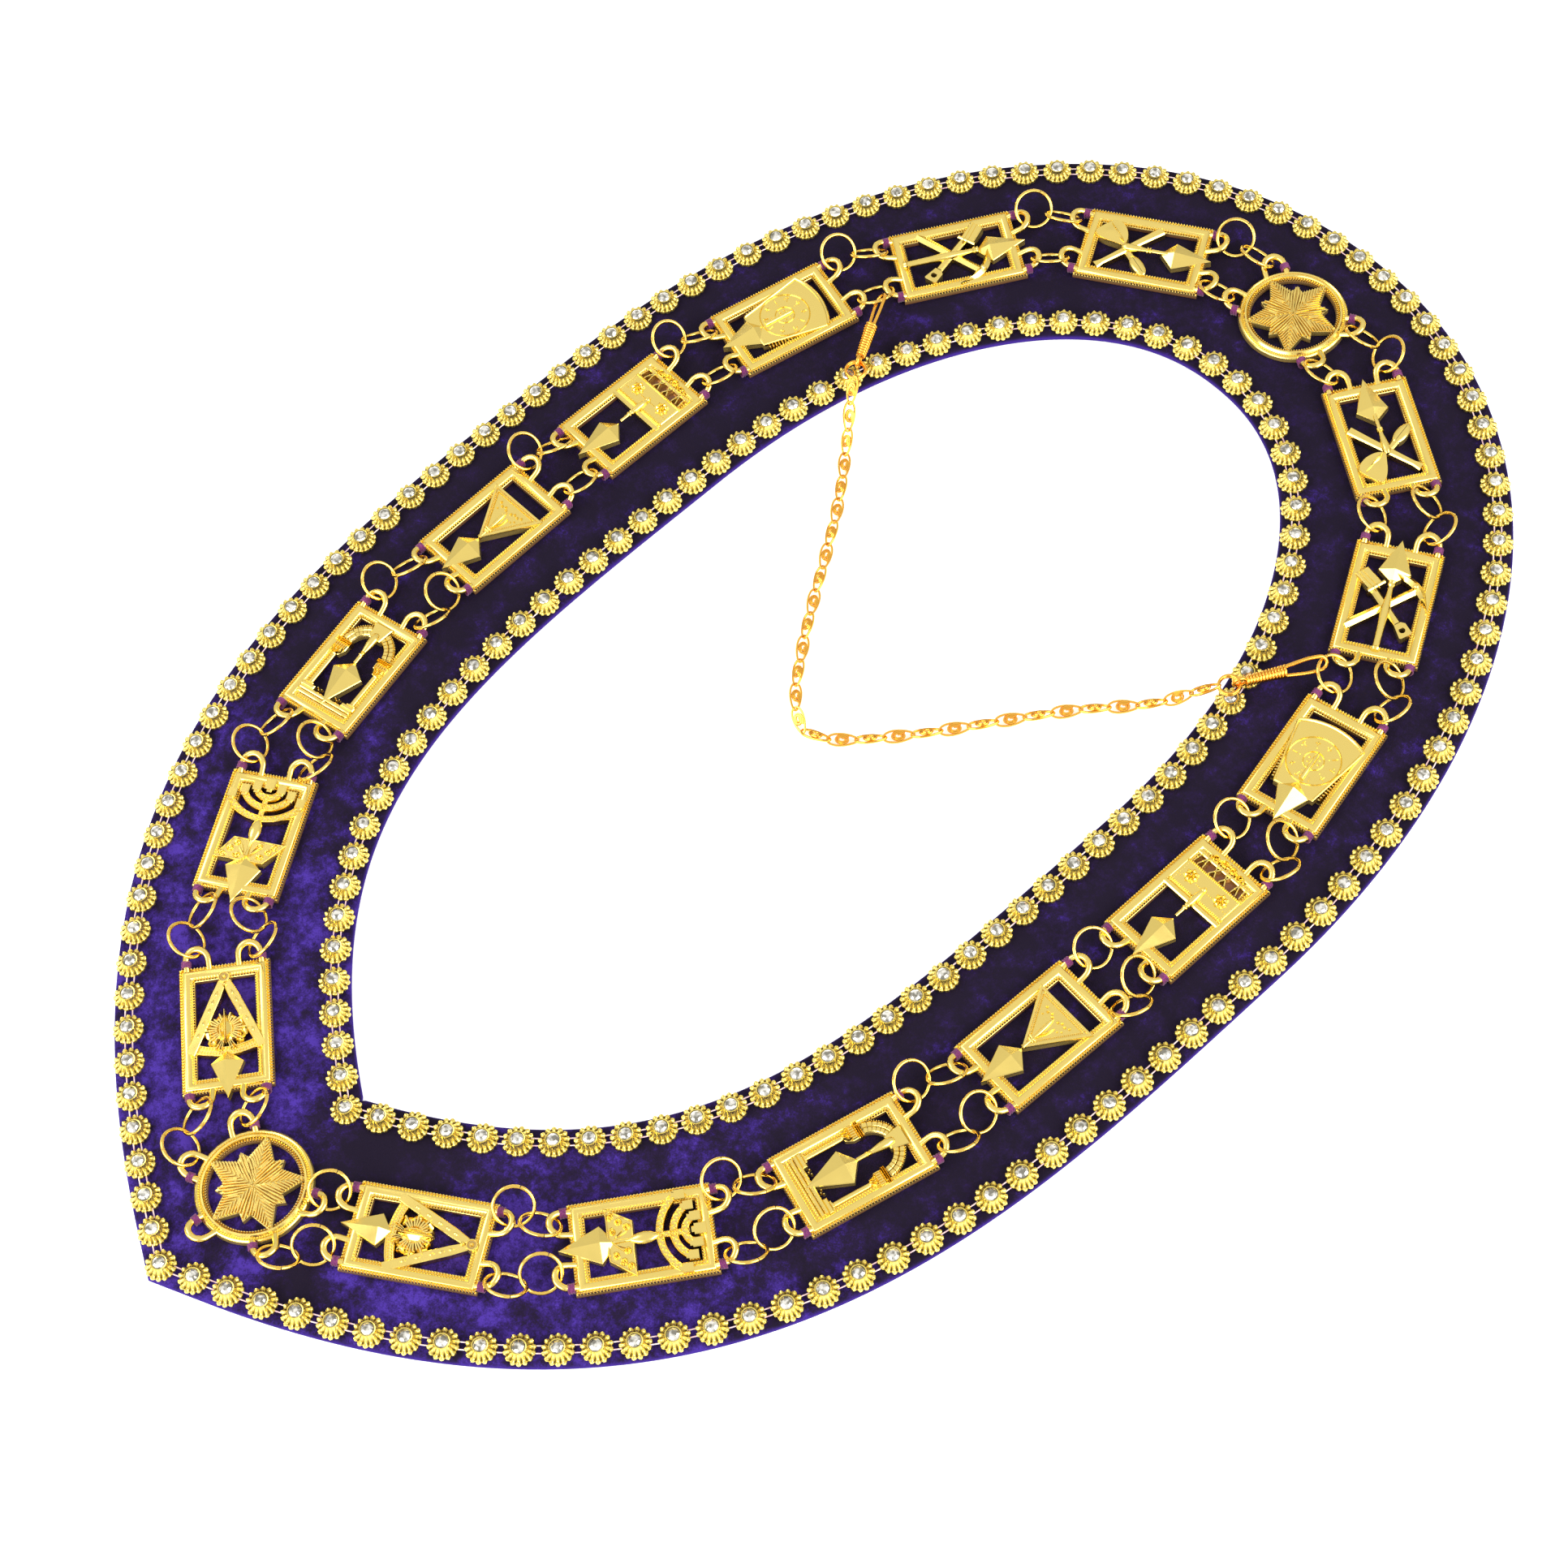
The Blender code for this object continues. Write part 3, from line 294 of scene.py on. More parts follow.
def piece(name, shells, finish, stands_for=(), crisp=40):
    """One object from shells. stands_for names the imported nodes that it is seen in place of."""
    whole = together(shells)
    mesh = bpy.data.meshes.new(name)
    mesh.vertices.add(len(whole.points))
    mesh.vertices.foreach_set("co", whole.points.astype(np.float32).ravel())
    mesh.loops.add(len(whole.corners))
    mesh.loops.foreach_set("vertex_index", whole.corners.astype(np.int32))
    mesh.polygons.add(len(whole.sizes))
    mesh.polygons.foreach_set("loop_start", (np.cumsum(whole.sizes) - whole.sizes).astype(np.int32))
    mesh.update(calc_edges=True)
    # One number a point of painted shade and painted sheen, which the finishes read.
    depth = mesh.attributes.new("tone", "FLOAT", "POINT")
    depth.data.foreach_set("value", whole.tone.astype(np.float32))
    mesh.shade_smooth()
    mesh.set_sharp_from_angle(angle=math.radians(crisp))
    mesh.polygons.foreach_set("use_smooth", ~whole.flat)
    mesh.materials.append(finish)
    obj = in_scene(name, mesh)
    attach(obj, "root")
    if stands_for:
        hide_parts(*stands_for)
    made[name] = triangle_count(whole)
    return obj

# %% [markdown]
# Finishes are node materials. A colour is written as it looks on a screen, in sRGB hex, and one function
# turns it linear, which is what shaders count in. One small function adds a node with its
# settings and links.

# %% Colour and node helpers


def linear(colour_hex):
    """sRGB to linear: c / 12.92 below 0.04045, and ((c + 0.055) / 1.055) ** 2.4 above it."""
    values = np.array([int(colour_hex[place:place + 2], 16) for place in (1, 3, 5)]) / 255
    low = values / 12.92
    high = ((values + 0.055) / 1.055) ** 2.4
    return (*np.where(values <= 0.04045, low, high).tolist(), 1.0)


def feed(tree, node, **inputs):
    """Sets or links a node's inputs by name, or by number: Base_Color=..., or _0=... for the first."""
    for name, value in inputs.items():
        socket = node.inputs[int(name[1:]) if name[0] == "_" else name.replace("_", " ")]
        if isinstance(value, bpy.types.NodeSocket):
            tree.links.new(value, socket)
        else:
            socket.default_value = value


def add(tree, kind, settings=None, stops=(), output=0, **inputs):
    """One output of a new node. settings sets its properties, and stops the colours of a ramp."""
    node = tree.nodes.new(kind)
    for name, value in (settings or {}).items():
        setattr(node, name, value)
    while len(stops) > 2 and len(node.color_ramp.elements) < len(stops):
        node.color_ramp.elements.new(0.5)
    for number, (position, colour_hex) in enumerate(stops):
        node.color_ramp.elements[number].position = position
        node.color_ramp.elements[number].color = linear(colour_hex)
    feed(tree, node, **inputs)
    return node.outputs[output]


def material(name):
    """An empty node material, with its Principled shader."""
    finish = bpy.data.materials.new(name)
    finish.use_nodes = True
    return finish, finish.node_tree, finish.node_tree.nodes["Principled BSDF"]


print("mid grey is", round(linear("#808080")[0], 3), "linear")

# %% [markdown]
# The studio is what polished metal shows, so it is made before the metal. A tabletop photograph of
# jewellery is lit through large white cloths: one to the right and one low in front whiten every bead and
# edge that leans their way, and a smaller one to the left fills. None hangs where the flat tops of the
# plates mirror the room towards the lens, so these show the even tone of the walls, as they do in the
# photograph. The table is paper, and a little light of its own keeps it white.

# %% Studio: table, softboxes and room


def softbox(name, place, width, height, power):
    """A rectangular light that faces the frame's origin, in the middle of the collar."""
    lamp = bpy.data.lights.new(name, "AREA")
    lamp.shape = "RECTANGLE"
    lamp.size = width
    lamp.size_y = height
    lamp.energy = power
    away = unit(place)
    sideways = unit(np.cross(UP, away))
    aim(in_scene(name, lamp), place, sideways, np.cross(away, sideways), away)


softbox("right_cloth", (1.15, 0.40, 0.75), 1.3, 0.8, 19.0)
softbox("front_cloth", (0.15, -1.25, 0.60), 1.6, 0.6, 17.0)
softbox("left_cloth", (-0.9, -0.5, 1.1), 0.6, 0.6, 5.0)

room = bpy.data.worlds.new("white_room")
room.use_nodes = True
bpy.context.scene.world = room
tree = room.node_tree
direction = add(tree, "ShaderNodeTexCoord", output="Generated")
height = add(tree, "ShaderNodeSeparateXYZ", output="Z", _0=direction)
walls = add(tree, "ShaderNodeValToRGB", stops=((0.0, "#BCBAB6"), (0.35, "#DEDCD8"), (0.8, "#F2F0EC")),
            _0=height)
feed(tree, tree.nodes["Background"], Color=walls, Strength=1.0)

bpy.context.scene.view_settings.view_transform = "Standard"

TABLE_HALF = 30.0
paper, tree, shader = material("white_paper")
feed(tree, shader, Base_Color=linear("#FAFAFA"), Roughness=0.9,
     Emission_Color=linear("#FFFFFF"), Emission_Strength=0.35)
table_mesh = bpy.data.meshes.new("table")
table_corners = [(x * TABLE_HALF, y * TABLE_HALF, 0) for x, y in ((-1, -1), (1, -1), (1, 1), (-1, 1))]
table_mesh.from_pydata(table_corners, [], [(0, 1, 2, 3)])
table_mesh.materials.append(paper)
table = in_scene("table", table_mesh)
print("three softboxes, a room and a lit table")

# %% [markdown]
# Velvet is woven with a pile: short silk or rayon hairs that stand up from the cloth. They swallow light
# that falls along them, so the cloth looks nearly black, and where the pile is pressed over it turns its
# violet side to the eye. That can't be one colour. Large noise gives the pressed patches, fine noise the
# flecks of single tufts, and a sheen lobe with a painted sheen, a lighter violet mixed in at the turned
# edge, gives the pale edge. Towards the point the colour is painted lighter, for the light and sheen that
# fall there and in part for pile pressed over, apart from two places where a hand has brushed it upright
# again. The places and reaches are in metres.

# %% Finish: crushed rayon velvet
PATCH = 10 * MM
TUFT = 0.55 * MM
UPRIGHT_PILE = (((0.022, -0.196, 0.005), 0.040), ((0.034, -0.242, 0.005), 0.014))
UPRIGHT_DARKER = 0.45
# Painted light: the pile value rises between these two places along y, so the velvet is lighter towards
# the point, for the light and sheen there and partly for pressed pile.
POINT_LIGHT_FROM, POINT_LIGHT_TO = -0.05, -0.20
DARKEST_PILE, LIT_PRESSED_PILE = -1.16, -0.80
PATCH_CONTRAST = 2.3
TUFT_CONTRAST = 0.5

velvet, tree, shader = material("crushed_rayon_velvet")
place = add(tree, "ShaderNodeTexCoord", output="Object")
patches = add(tree, "ShaderNodeTexNoise", Vector=place, Scale=1 / PATCH, Detail=8.0, Roughness=0.78)
tufts = add(tree, "ShaderNodeTexNoise", Vector=place, Scale=1 / TUFT, Detail=2.0, Roughness=0.7)
along_run = add(tree, "ShaderNodeSeparateXYZ", output="Y", _0=place)
# Painted light and pressed pile: lighter towards the point.
pressed = add(tree, "ShaderNodeMapRange", {"interpolation_type": "SMOOTHSTEP"}, Value=along_run,
              From_Min=POINT_LIGHT_FROM, From_Max=POINT_LIGHT_TO, To_Min=DARKEST_PILE, To_Max=LIT_PRESSED_PILE)
mottle = add(tree, "ShaderNodeMath", {"operation": "MULTIPLY_ADD"}, _0=tufts, _1=TUFT_CONTRAST, _2=pressed)
pile = add(tree, "ShaderNodeMath", {"operation": "MULTIPLY_ADD"}, _0=patches, _1=PATCH_CONTRAST, _2=mottle)
for spot, reach in UPRIGHT_PILE:
    away = add(tree, "ShaderNodeVectorMath", {"operation": "DISTANCE"}, output="Value", _0=place, _1=spot)
    upright_here = add(tree, "ShaderNodeMapRange", {"interpolation_type": "SMOOTHSTEP"}, Value=away,
                       From_Min=0.3 * reach, From_Max=reach, To_Min=-UPRIGHT_DARKER, To_Max=0.0)
    pile = add(tree, "ShaderNodeMath", {"operation": "ADD"}, _0=pile, _1=upright_here)
body = add(tree, "ShaderNodeValToRGB", _0=pile,
           stops=((0.15, "#150C20"), (0.42, "#1D1032"), (0.62, "#2C1960"), (0.85, "#432C90")))
# Painted sheen: a lighter violet mixed in along the turned edge.
painted_edge_sheen = add(tree, "ShaderNodeAttribute", {"attribute_name": "tone"}, output="Fac")
colour = add(tree, "ShaderNodeMix", {"data_type": "RGBA"}, output=2, _0=painted_edge_sheen, _6=body,
             _7=linear("#331B78"))
relief = add(tree, "ShaderNodeBump", Strength=0.5, Distance=0.3 * MM, Height=tufts)
feed(tree, shader, Base_Color=colour, Normal=relief, Roughness=0.85, Specular_IOR_Level=0.15,
     Sheen_Weight=0.25, Sheen_Roughness=0.35, Sheen_Tint=linear("#5A3CC8"))
print("velvet patches of", round(PATCH / MM), "mm, tufts of", round(TUFT / MM, 2), "mm")

# %% [markdown]
# The band is one closed loop of velvet over a thin pad. Its outline is a profile across the width: flat
# below, rounded at the turned edges and slightly puckered above, where the trims are stitched down. The
# profile is repeated along the closed line, and a grid of points follows.

# %% Velvet band
BAND_STEPS = 330
EDGE_ROUND = 1.5 * MM
EDGE_POINTS = 9
TOP_POINTS = 23
TRIM_OFFSET = 33.5 * MM
PUCKER = 0.22 * MM
PUCKERS = 109
PUCKER_REACH = 4 * MM
SWELL = 0.12 * MM
SWELLS = 9
SWELL_SLANT = 9 * MM
EDGE_SHEEN_FROM = 0.985


def band_profile():
    """Offsets, heights and painted edge sheen across the width: a half ellipse at each edge, flat above
    and below.
    """
    half = BAND_WIDTH / 2
    angle = np.linspace(math.pi / 2, -math.pi / 2, EDGE_POINTS)
    edge_across = half - EDGE_ROUND + EDGE_ROUND * np.cos(angle)
    edge_height = BAND_TOP / 2 * (1 + np.sin(angle))
    top = np.linspace(-half + EDGE_ROUND, half - EDGE_ROUND, TOP_POINTS + 2)[1:-1]
    across = np.concatenate([top, edge_across, -edge_across[::-1]])
    height = np.concatenate([np.full(len(top), BAND_TOP), edge_height, edge_height[::-1]])
    # Painted sheen: rises to 1 at the very edge, where the velvet is tinted a lighter violet.
    edge_sheen = np.clip((np.abs(across) / half - EDGE_SHEEN_FROM) / (1 - EDGE_SHEEN_FROM), 0, 1)
    return across, height, edge_sheen


def velvet_band():
    """The top dips by PUCKER * (1 - cos) / 2 between stitches, near the trims, and by slow swells."""
    across, height, edge_sheen = band_profile()
    lines = np.stack([rail(offset, BAND_STEPS) for offset in across], 1)
    turn = 2 * math.pi * np.linspace(0, 1, len(lines), endpoint=False)[:, None]
    pucker = PUCKER * (1 - np.cos(PUCKERS * turn)) / 2
    near = np.exp(-((np.abs(across) - TRIM_OFFSET) / PUCKER_REACH) ** 2)
    swell = SWELL * (1 - np.sin(SWELLS * turn + across / SWELL_SLANT)) / 2
    on_top = height > 0.9 * BAND_TOP
    heights = height - (near * pucker + swell) * on_top
    return loft(np.concatenate([lines, heights[..., None]], 2), ring=True, tone=edge_sheen)


band = piece("velvet_cover", [velvet_band()], velvet, ["velvet_band"], crisp=70)
print("velvet cover", made["velvet_cover"], "triangles")

# %% [markdown]
# All the gold is thin plating over a cheap casting or wire, polished bright. A metal has no colour of its
# own under the reflection: its base colour is how it tints what it mirrors. Open faces are pale yellow,
# and in the depths light bounces from gold to gold several times and turns copper brown. That shade, and
# the dim reflection of the velvet in the walls, are painted in as a brown, less metallic tint where the
# painted shading is high. Pits too fine for the mesh are a bump of about 0.4 mm.

# %% Finish: gold plate, in four tints
WEAR = 6 * MM
RUBBED_BRIGHT, RUBBED_DULL = 0.8, 1.3
METAL_IN_PAINTED_SHADE = 0.4


def gold_plate(name, bright, painted_shade_colour, roughness, grain, depth):
    """Bright plating: bright on open faces, with painted shade, browner and less metallic, where the
    painted shading is 1, and a fine cast or drawn grain.
    """
    finish, tree, shader = material(name)
    place = add(tree, "ShaderNodeTexCoord", output="Object")
    grains = add(tree, "ShaderNodeTexNoise", Vector=place, Scale=1 / grain, Detail=3.0)
    wear = add(tree, "ShaderNodeTexNoise", Vector=place, Scale=1 / WEAR, Detail=4.0)
    tone = add(tree, "ShaderNodeAttribute", {"attribute_name": "tone"}, output="Fac")
    # Painted shade: the colour turns brown in the depths and on the walls.
    tint = add(tree, "ShaderNodeMix", {"data_type": "RGBA"}, output=2, _0=tone, _6=linear(bright),
               _7=linear(painted_shade_colour))
    gloss = add(tree, "ShaderNodeMapRange", Value=wear, From_Min=0.3, From_Max=0.7,
                To_Min=roughness * RUBBED_BRIGHT, To_Max=roughness * RUBBED_DULL)
    relief = add(tree, "ShaderNodeBump", Strength=0.06, Distance=depth, Height=grains)
    # Painted shade and reflection: less metallic there, so the brown shows.
    metal = add(tree, "ShaderNodeMapRange", Value=tone, To_Min=1.0, To_Max=METAL_IN_PAINTED_SHADE)
    feed(tree, shader, Base_Color=tint, Roughness=gloss, Normal=relief, Metallic=metal)
    return finish


# The second colour of each finish is the painted shade of the depths and walls.
cast_gold = gold_plate("gold_plated_zinc_casting", "#FADF7E", "#7C5238", 0.19, 0.4 * MM, 0.02 * MM)
trim_gold = gold_plate("gold_plated_filigree", "#FDE67C", "#5E3D10", 0.22, 0.5 * MM, 0.03 * MM)
wire_gold = gold_plate("gold_plated_brass_wire", "#FAD46C", "#9A5E20", 0.14, 0.6 * MM, 0.01 * MM)
chain_gold = gold_plate("gold_plated_chain_wire", "#FABE50", "#A0600E", 0.16, 0.6 * MM, 0.01 * MM)
print("gold in four tints")

# %% [markdown]
# Each trim is a row of pressed filigree flowers. A flower is a low dome: fourteen round lobes at its rim,
# fourteen ribs that climb to a collar in the middle, and openings between the ribs, sunk hollows with
# painted shade rather than holes. On a polar grid the lobes and openings are one folded cosine of the
# angle, so the whole flower is a radius and a height that depend on the ring and the angle. Two hundred
# of them stand on the band, so each has few faces.

# %% Trim flowers
LOBES = 14
SEAT_GAP = 0.3 * MM
OUTER_FLOWERS = 118
INNER_FLOWERS = 85

# Rings of a flower from its foot to its collar: radius, height, how far the lobes push the radius out,
# how far the openings sink, in millimetres, and the painted shade between the ribs and on them
FLOWER_RINGS = np.array([
    (4.70, 0.00, 0.30, 0.00, 0.6, 0.4),
    (4.95, 0.70, 0.42, 0.20, 0.4, 0.0),
    (4.75, 1.50, 0.34, 0.60, 0.4, 0.0),
    (4.25, 1.60, 0.00, 0.90, 0.9, 0.0),
    (3.70, 2.05, 0.00, 1.60, 1.0, 0.0),
    (3.00, 2.75, 0.00, 1.30, 0.8, 0.0),
    (2.68, 3.20, 0.00, 0.20, 0.3, 0.0),
    (2.55, 3.80, 0.00, 0.00, 0.0, 0.0),
    (2.25, 3.75, 0.00, 0.00, 0.2, 0.2),
    (2.15, 3.10, 0.00, 0.00, 1.0, 1.0),
])


def flower():
    """Radius r + push * c, height h - sink * (1 - c) / 2, and c = 2 |cos(LOBES * angle / 2)| - 1."""
    angle = 2 * math.pi * np.arange(LOBES * 4) / (LOBES * 4)
    rib = 2 * np.abs(np.cos(LOBES * angle / 2))[None, :] - 1
    gap = (1 - rib) / 2
    radius, height, push, sink, shade_between_ribs, shade_on_ribs = FLOWER_RINGS.T[:, :, None]
    points = around(angle, (radius + push * rib) * MM, (height - sink * gap) * MM)
    # Painted shade: dark in the sunk openings and inside the collar under the stone.
    return loft(points, tone=shade_between_ribs * gap + shade_on_ribs * (1 - gap))


def cut_stone(radius, height, seat):
    """A round brilliant's crown over a shallow back: a table octagon, eight kites and eight breaks."""
    angle = 2 * math.pi * np.arange(16) / 16
    reach = np.array([[0.35] * 16, [1.0] * 16, [0.86, 0.80] * 8, [0.55, 0.51] * 8]) * radius
    up = np.array([[-0.5] * 16, [0.0] * 16, [0.45, 0.50] * 8, [1.0] * 16]) * height
    return loft(around(angle, reach, up + seat))


def at_height(points, height):
    """Flat points lifted to one height, or to a height each."""
    return np.column_stack([points, np.broadcast_to(height, len(points))])


def flat_axes(ahead, across, height=1.0):
    """Three axes for each of many copies: two flat ones, given, and one that stands up, height long."""
    axes = np.zeros((len(ahead), 3, 3))
    axes[:, 0, :2] = ahead
    axes[:, 1, :2] = across
    axes[:, 2, 2] = height
    return axes


def spots_along(offset, count):
    """Evenly spaced places on a rail, and the flat axes there: ahead, to the left, and up."""
    line = rail(offset, RAIL_STEPS)
    closed = evenly(np.vstack([line, line[:1]]), count + 1)[:-1]
    ahead = unit(np.roll(closed, -1, 0) - np.roll(closed, 1, 0))
    return at_height(closed, BAND_TOP + SEAT_GAP), flat_axes(ahead, left_of(ahead))


def spun(axes, seed):
    """The same axes turned about the upright by a fixed random angle each."""
    angle = np.random.default_rng(seed).uniform(0, 2 * math.pi, len(axes))[:, None]
    first, second = axes[:, 0], axes[:, 1]
    return np.stack([np.cos(angle) * first + np.sin(angle) * second,
                     np.cos(angle) * second - np.sin(angle) * first, axes[:, 2]], 1)


trims = {"outer": spots_along(TRIM_OFFSET, OUTER_FLOWERS),
         "inner": spots_along(-TRIM_OFFSET, INNER_FLOWERS)}
for seed, (name, (spots, axes)) in enumerate(trims.items(), 1):
    flowers = copies(flower(), spots, spun(axes, seed))
    piece(name + "_flowers", [flowers], trim_gold, [name + "_trim"], crisp=60)
print("flowers", made["outer_flowers"], made["inner_flowers"], "triangles")

# %% [markdown]
# The stones are pressed glass with a foil behind them, and the foil throws light back through the
# facets. What reaches the eye is a mirror broken into facets, so the finish is nearly a mirror, tinted
# by the faintest grey. Between flowers run two clear threads that the row is strung on.

# %% Trim stones and stringing thread
STONE_RADIUS = 2.2 * MM
STONE_HEIGHT = 0.95 * MM
STONE_SEAT = 3.55 * MM
STONE_CLOUD = 1.6 * MM
THREAD = 0.45 * MM
THREAD_SPREAD = 1.2 * MM
THREAD_HEIGHT = 0.9 * MM
THREAD_SHARES = (0.35, 0.65)
THREAD_CLOUD = 2 * MM


def clouded(name, size, stops, **inputs):
    """A finish whose colour drifts through stops with soft noise of one size."""
    finish, tree, shader = material(name)
    place = add(tree, "ShaderNodeTexCoord", output="Object")
    cloud = add(tree, "ShaderNodeTexNoise", Vector=place, Scale=1 / size, Detail=1.0)
    feed(tree, shader, Base_Color=add(tree, "ShaderNodeValToRGB", stops=stops, _0=cloud), **inputs)
    return finish


foiled_glass = clouded("foiled_pressed_glass", STONE_CLOUD, ((0.38, "#8C897E"), (0.62, "#F0EEE6")),
                       Metallic=0.75, Roughness=0.06)
clear_thread = clouded("clear_nylon_thread", THREAD_CLOUD, ((0.3, "#C79BA6"), (0.7, "#F0DDE0")),
                       Roughness=0.25)

stone = cut_stone(STONE_RADIUS, STONE_HEIGHT, STONE_SEAT)
stones = [copies(stone, spots, spun(axes, seed)) for seed, (spots, axes) in enumerate(trims.values(), 3)]
piece("trim_stones", stones, foiled_glass, crisp=8)


def threads(spots):
    """Two short bars of square section from each flower to the next, side by side."""
    run = (np.roll(spots, -1, 0) - spots)[:, :2]
    square = circle(THREAD / 2, 4)
    rows = np.stack([np.column_stack([np.full(4, share), square]) for share in THREAD_SHARES])
    bars = [loft(rows + (0, side * THREAD_SPREAD, THREAD_HEIGHT)) for side in (-1, 1)]
    return copies(together(bars), spots, flat_axes(run, left_of(unit(run))))


piece("stringing_thread", [threads(spots) for spots, _ in trims.values()], clear_thread)
print("stones", made["trim_stones"], "and threads", made["stringing_thread"], "triangles")

# %% [markdown]
# The plates hang together by cast loops, one pair at each end, and jump rings run from loop to loop. The
# places follow from the line: each plate stands at a share of the half run, a little outward of it. The
# holes of its four loops are found next, and every ring is then a circle through two holes, leaning up.

# %% Places of the plates, and the holes of their loops
PLATE_LENGTH = 0.045
PLATE_WIDTH = 0.030
DISC_RADIUS = 0.0192
LOOP_SPACING = 0.0172
LOOP_RADIUS = 0.0037
LOOP_LEG = 0.0017
LOOP_HEIGHT = 0.0020
LOOP_HALF_WIDTH = 0.0010
LOOP_RISE = math.radians(22)
DISC_LOOP_ANGLE = math.radians(28)
PLATE_FLOOR = BAND_TOP + SEAT_GAP
HOLE_REACH = (LOOP_LEG + LOOP_RADIUS - LOOP_HALF_WIDTH) / 2
HOLE_HEIGHT = PLATE_FLOOR + LOOP_HEIGHT + HOLE_REACH * math.tan(LOOP_RISE)

# Emblem, share of the half run where the plate's centre lies, distance outward from the line
PLATES = (
    ("compasses", 0.0957, 0.0015),
    ("candelabrum", 0.2135, 0.0011),
    ("arch", 0.3295, 0.0009),
    ("triangle", 0.4506, 0.0017),
    ("chest", 0.5600, 0.0023),
    ("keystone", 0.6710, 0.0011),
    ("mallet", 0.7838, 0.0003),
    ("shovel", 0.8979, -0.0008),
)


def place_on_run(share, outward):
    """Centre and direction ahead at a share of the half run, on the right side."""
    line = evenly(half_midline(), RUN_STEPS + 1)
    ahead, right = directions(line)
    number = round(share * RUN_STEPS)
    return line[number] + outward * right[number] + (0, DISC_Y), ahead[number]


def hole_on_plate(centre, ahead, side, end):
    """The middle of a loop's hole, on the side and at the end that the two signs give."""
    across = -left_of(ahead) * side * LOOP_SPACING / 2
    return np.array([*(centre + across + ahead * end * (PLATE_LENGTH / 2 + HOLE_REACH)), HOLE_HEIGHT])


def hole_on_disc(height, angle):
    """The middle of the hole of a disc's loop, at an angle from +X."""
    reach = DISC_RADIUS + HOLE_REACH
    return np.array([reach * math.cos(angle), height + reach * math.sin(angle) + DISC_Y, HOLE_HEIGHT])


def gap_holes(track):
    """Pairs of holes across the nine gaps of the right side, on the outer (1) or inner (-1) track."""
    holes = [hole_on_disc(0.0, -track * DISC_LOOP_ANGLE)]
    for _, share, outward in PLATES:
        centre, ahead = place_on_run(share, outward)
        holes += [hole_on_plate(centre, ahead, track, end) for end in (-1, 1)]
    holes.append(hole_on_disc(NECK_HEIGHT, track * DISC_LOOP_ANGLE))
    return list(zip(holes[::2], holes[1::2]))


spans = [np.linalg.norm(second - first) for track in (1, -1) for first, second in gap_holes(track)]
print("gaps between holes", round(min(spans) / MM, 1), "to", round(max(spans) / MM, 1), "mm")

# %% [markdown]
# A jump ring is a turn of hard wire, sawn through, so each has a fine slit where its two ends meet. Its
# path is most of a circle in a leaning plane, and a round profile is carried along it. The slit lies on
# the long arc, away from both loops.

# %% Jump rings
RING_RADIUS = 0.00645
RING_WIRE_SEEN = 0.00125
RING_WIRE = 0.0010
RING_LEAN = math.radians(42)
RING_BOW = 0.0035
RING_PLAY = 0.0011
SINGLE_CHORD = 0.93
LONGEST_CHORD = 0.84
SHORTEST_CHORD = 0.71
LINK_OVERLAP = 0.30
SLIT_ANGLE = 55
SLIT = 0.8


def ring_between(start, end, big_side):
    """Centre and plane of a circle through two points. It leans as far as its short arc can dip."""
    chord = unit(end - start)
    side = unit(np.cross(UP, chord))
    side = side if side @ big_side >= 0 else -side
    away = math.sqrt(max(RING_RADIUS**2 - np.linalg.norm(end - start) ** 2 / 4, 0.0))
    room = min(start[2], end[2]) - RING_WIRE / 2 - SEAT_GAP - BAND_TOP
    lean = min(RING_LEAN, math.asin(min(room / (RING_RADIUS - away), 1.0)))
    tilt = side * math.cos(lean) + UP * math.sin(lean)
    return (start + end) / 2 + away * tilt, chord, tilt


def ring_spans(first, second, bow_side):
    """Start, end and side of each ring between two holes: one ring, or two that bow out and link."""
    span = np.linalg.norm(second - first)
    count = 1 if span <= 2 * (RING_RADIUS + RING_PLAY) else 2
    loose = 2 * RING_RADIUS * (SINGLE_CHORD if count == 1 else count * LONGEST_CHORD)
    tight = 2 * RING_RADIUS * count * SHORTEST_CHORD
    shift = np.clip((span - np.clip(span, tight, loose)) / 2, -RING_PLAY, RING_PLAY)
    pull = shift * (second - first) / span
    rise = UP * shift * math.tan(LOOP_RISE)
    start, end = first + pull + rise, second - pull + rise
    if count == 1:
        return [(start, end, bow_side)]
    middle = (start + end) / 2 + RING_BOW * bow_side
    overlap = LINK_OVERLAP * RING_WIRE * unit(end - start)
    return [(start, middle + overlap, bow_side), (middle - overlap, end, -bow_side)]


def wire_circle(centre, first, second, radius, wire, begin=0.0, turn=2 * math.pi, steps=36):
    """Round wire along centre + radius * (first * cos a + second * sin a), for a from begin on."""
    whole = turn >= 2 * math.pi - 1e-6
    angle = (begin + np.linspace(0, turn, steps + (not whole), endpoint=not whole))[:, None]
    path = centre + radius * (np.cos(angle) * first + np.sin(angle) * second)
    return carried(path, circle(wire / 2, 10), np.cross(first, second), ring=whole)


def jump_ring(start, end, side):
    """One sawn ring through two holes."""
    centre, chord, tilt = ring_between(start, end, side)
    begin = math.radians(SLIT_ANGLE + SLIT)
    turn = math.radians(360 - 2 * SLIT)
    return wire_circle(centre, chord, tilt, RING_RADIUS, RING_WIRE_SEEN, begin, turn)


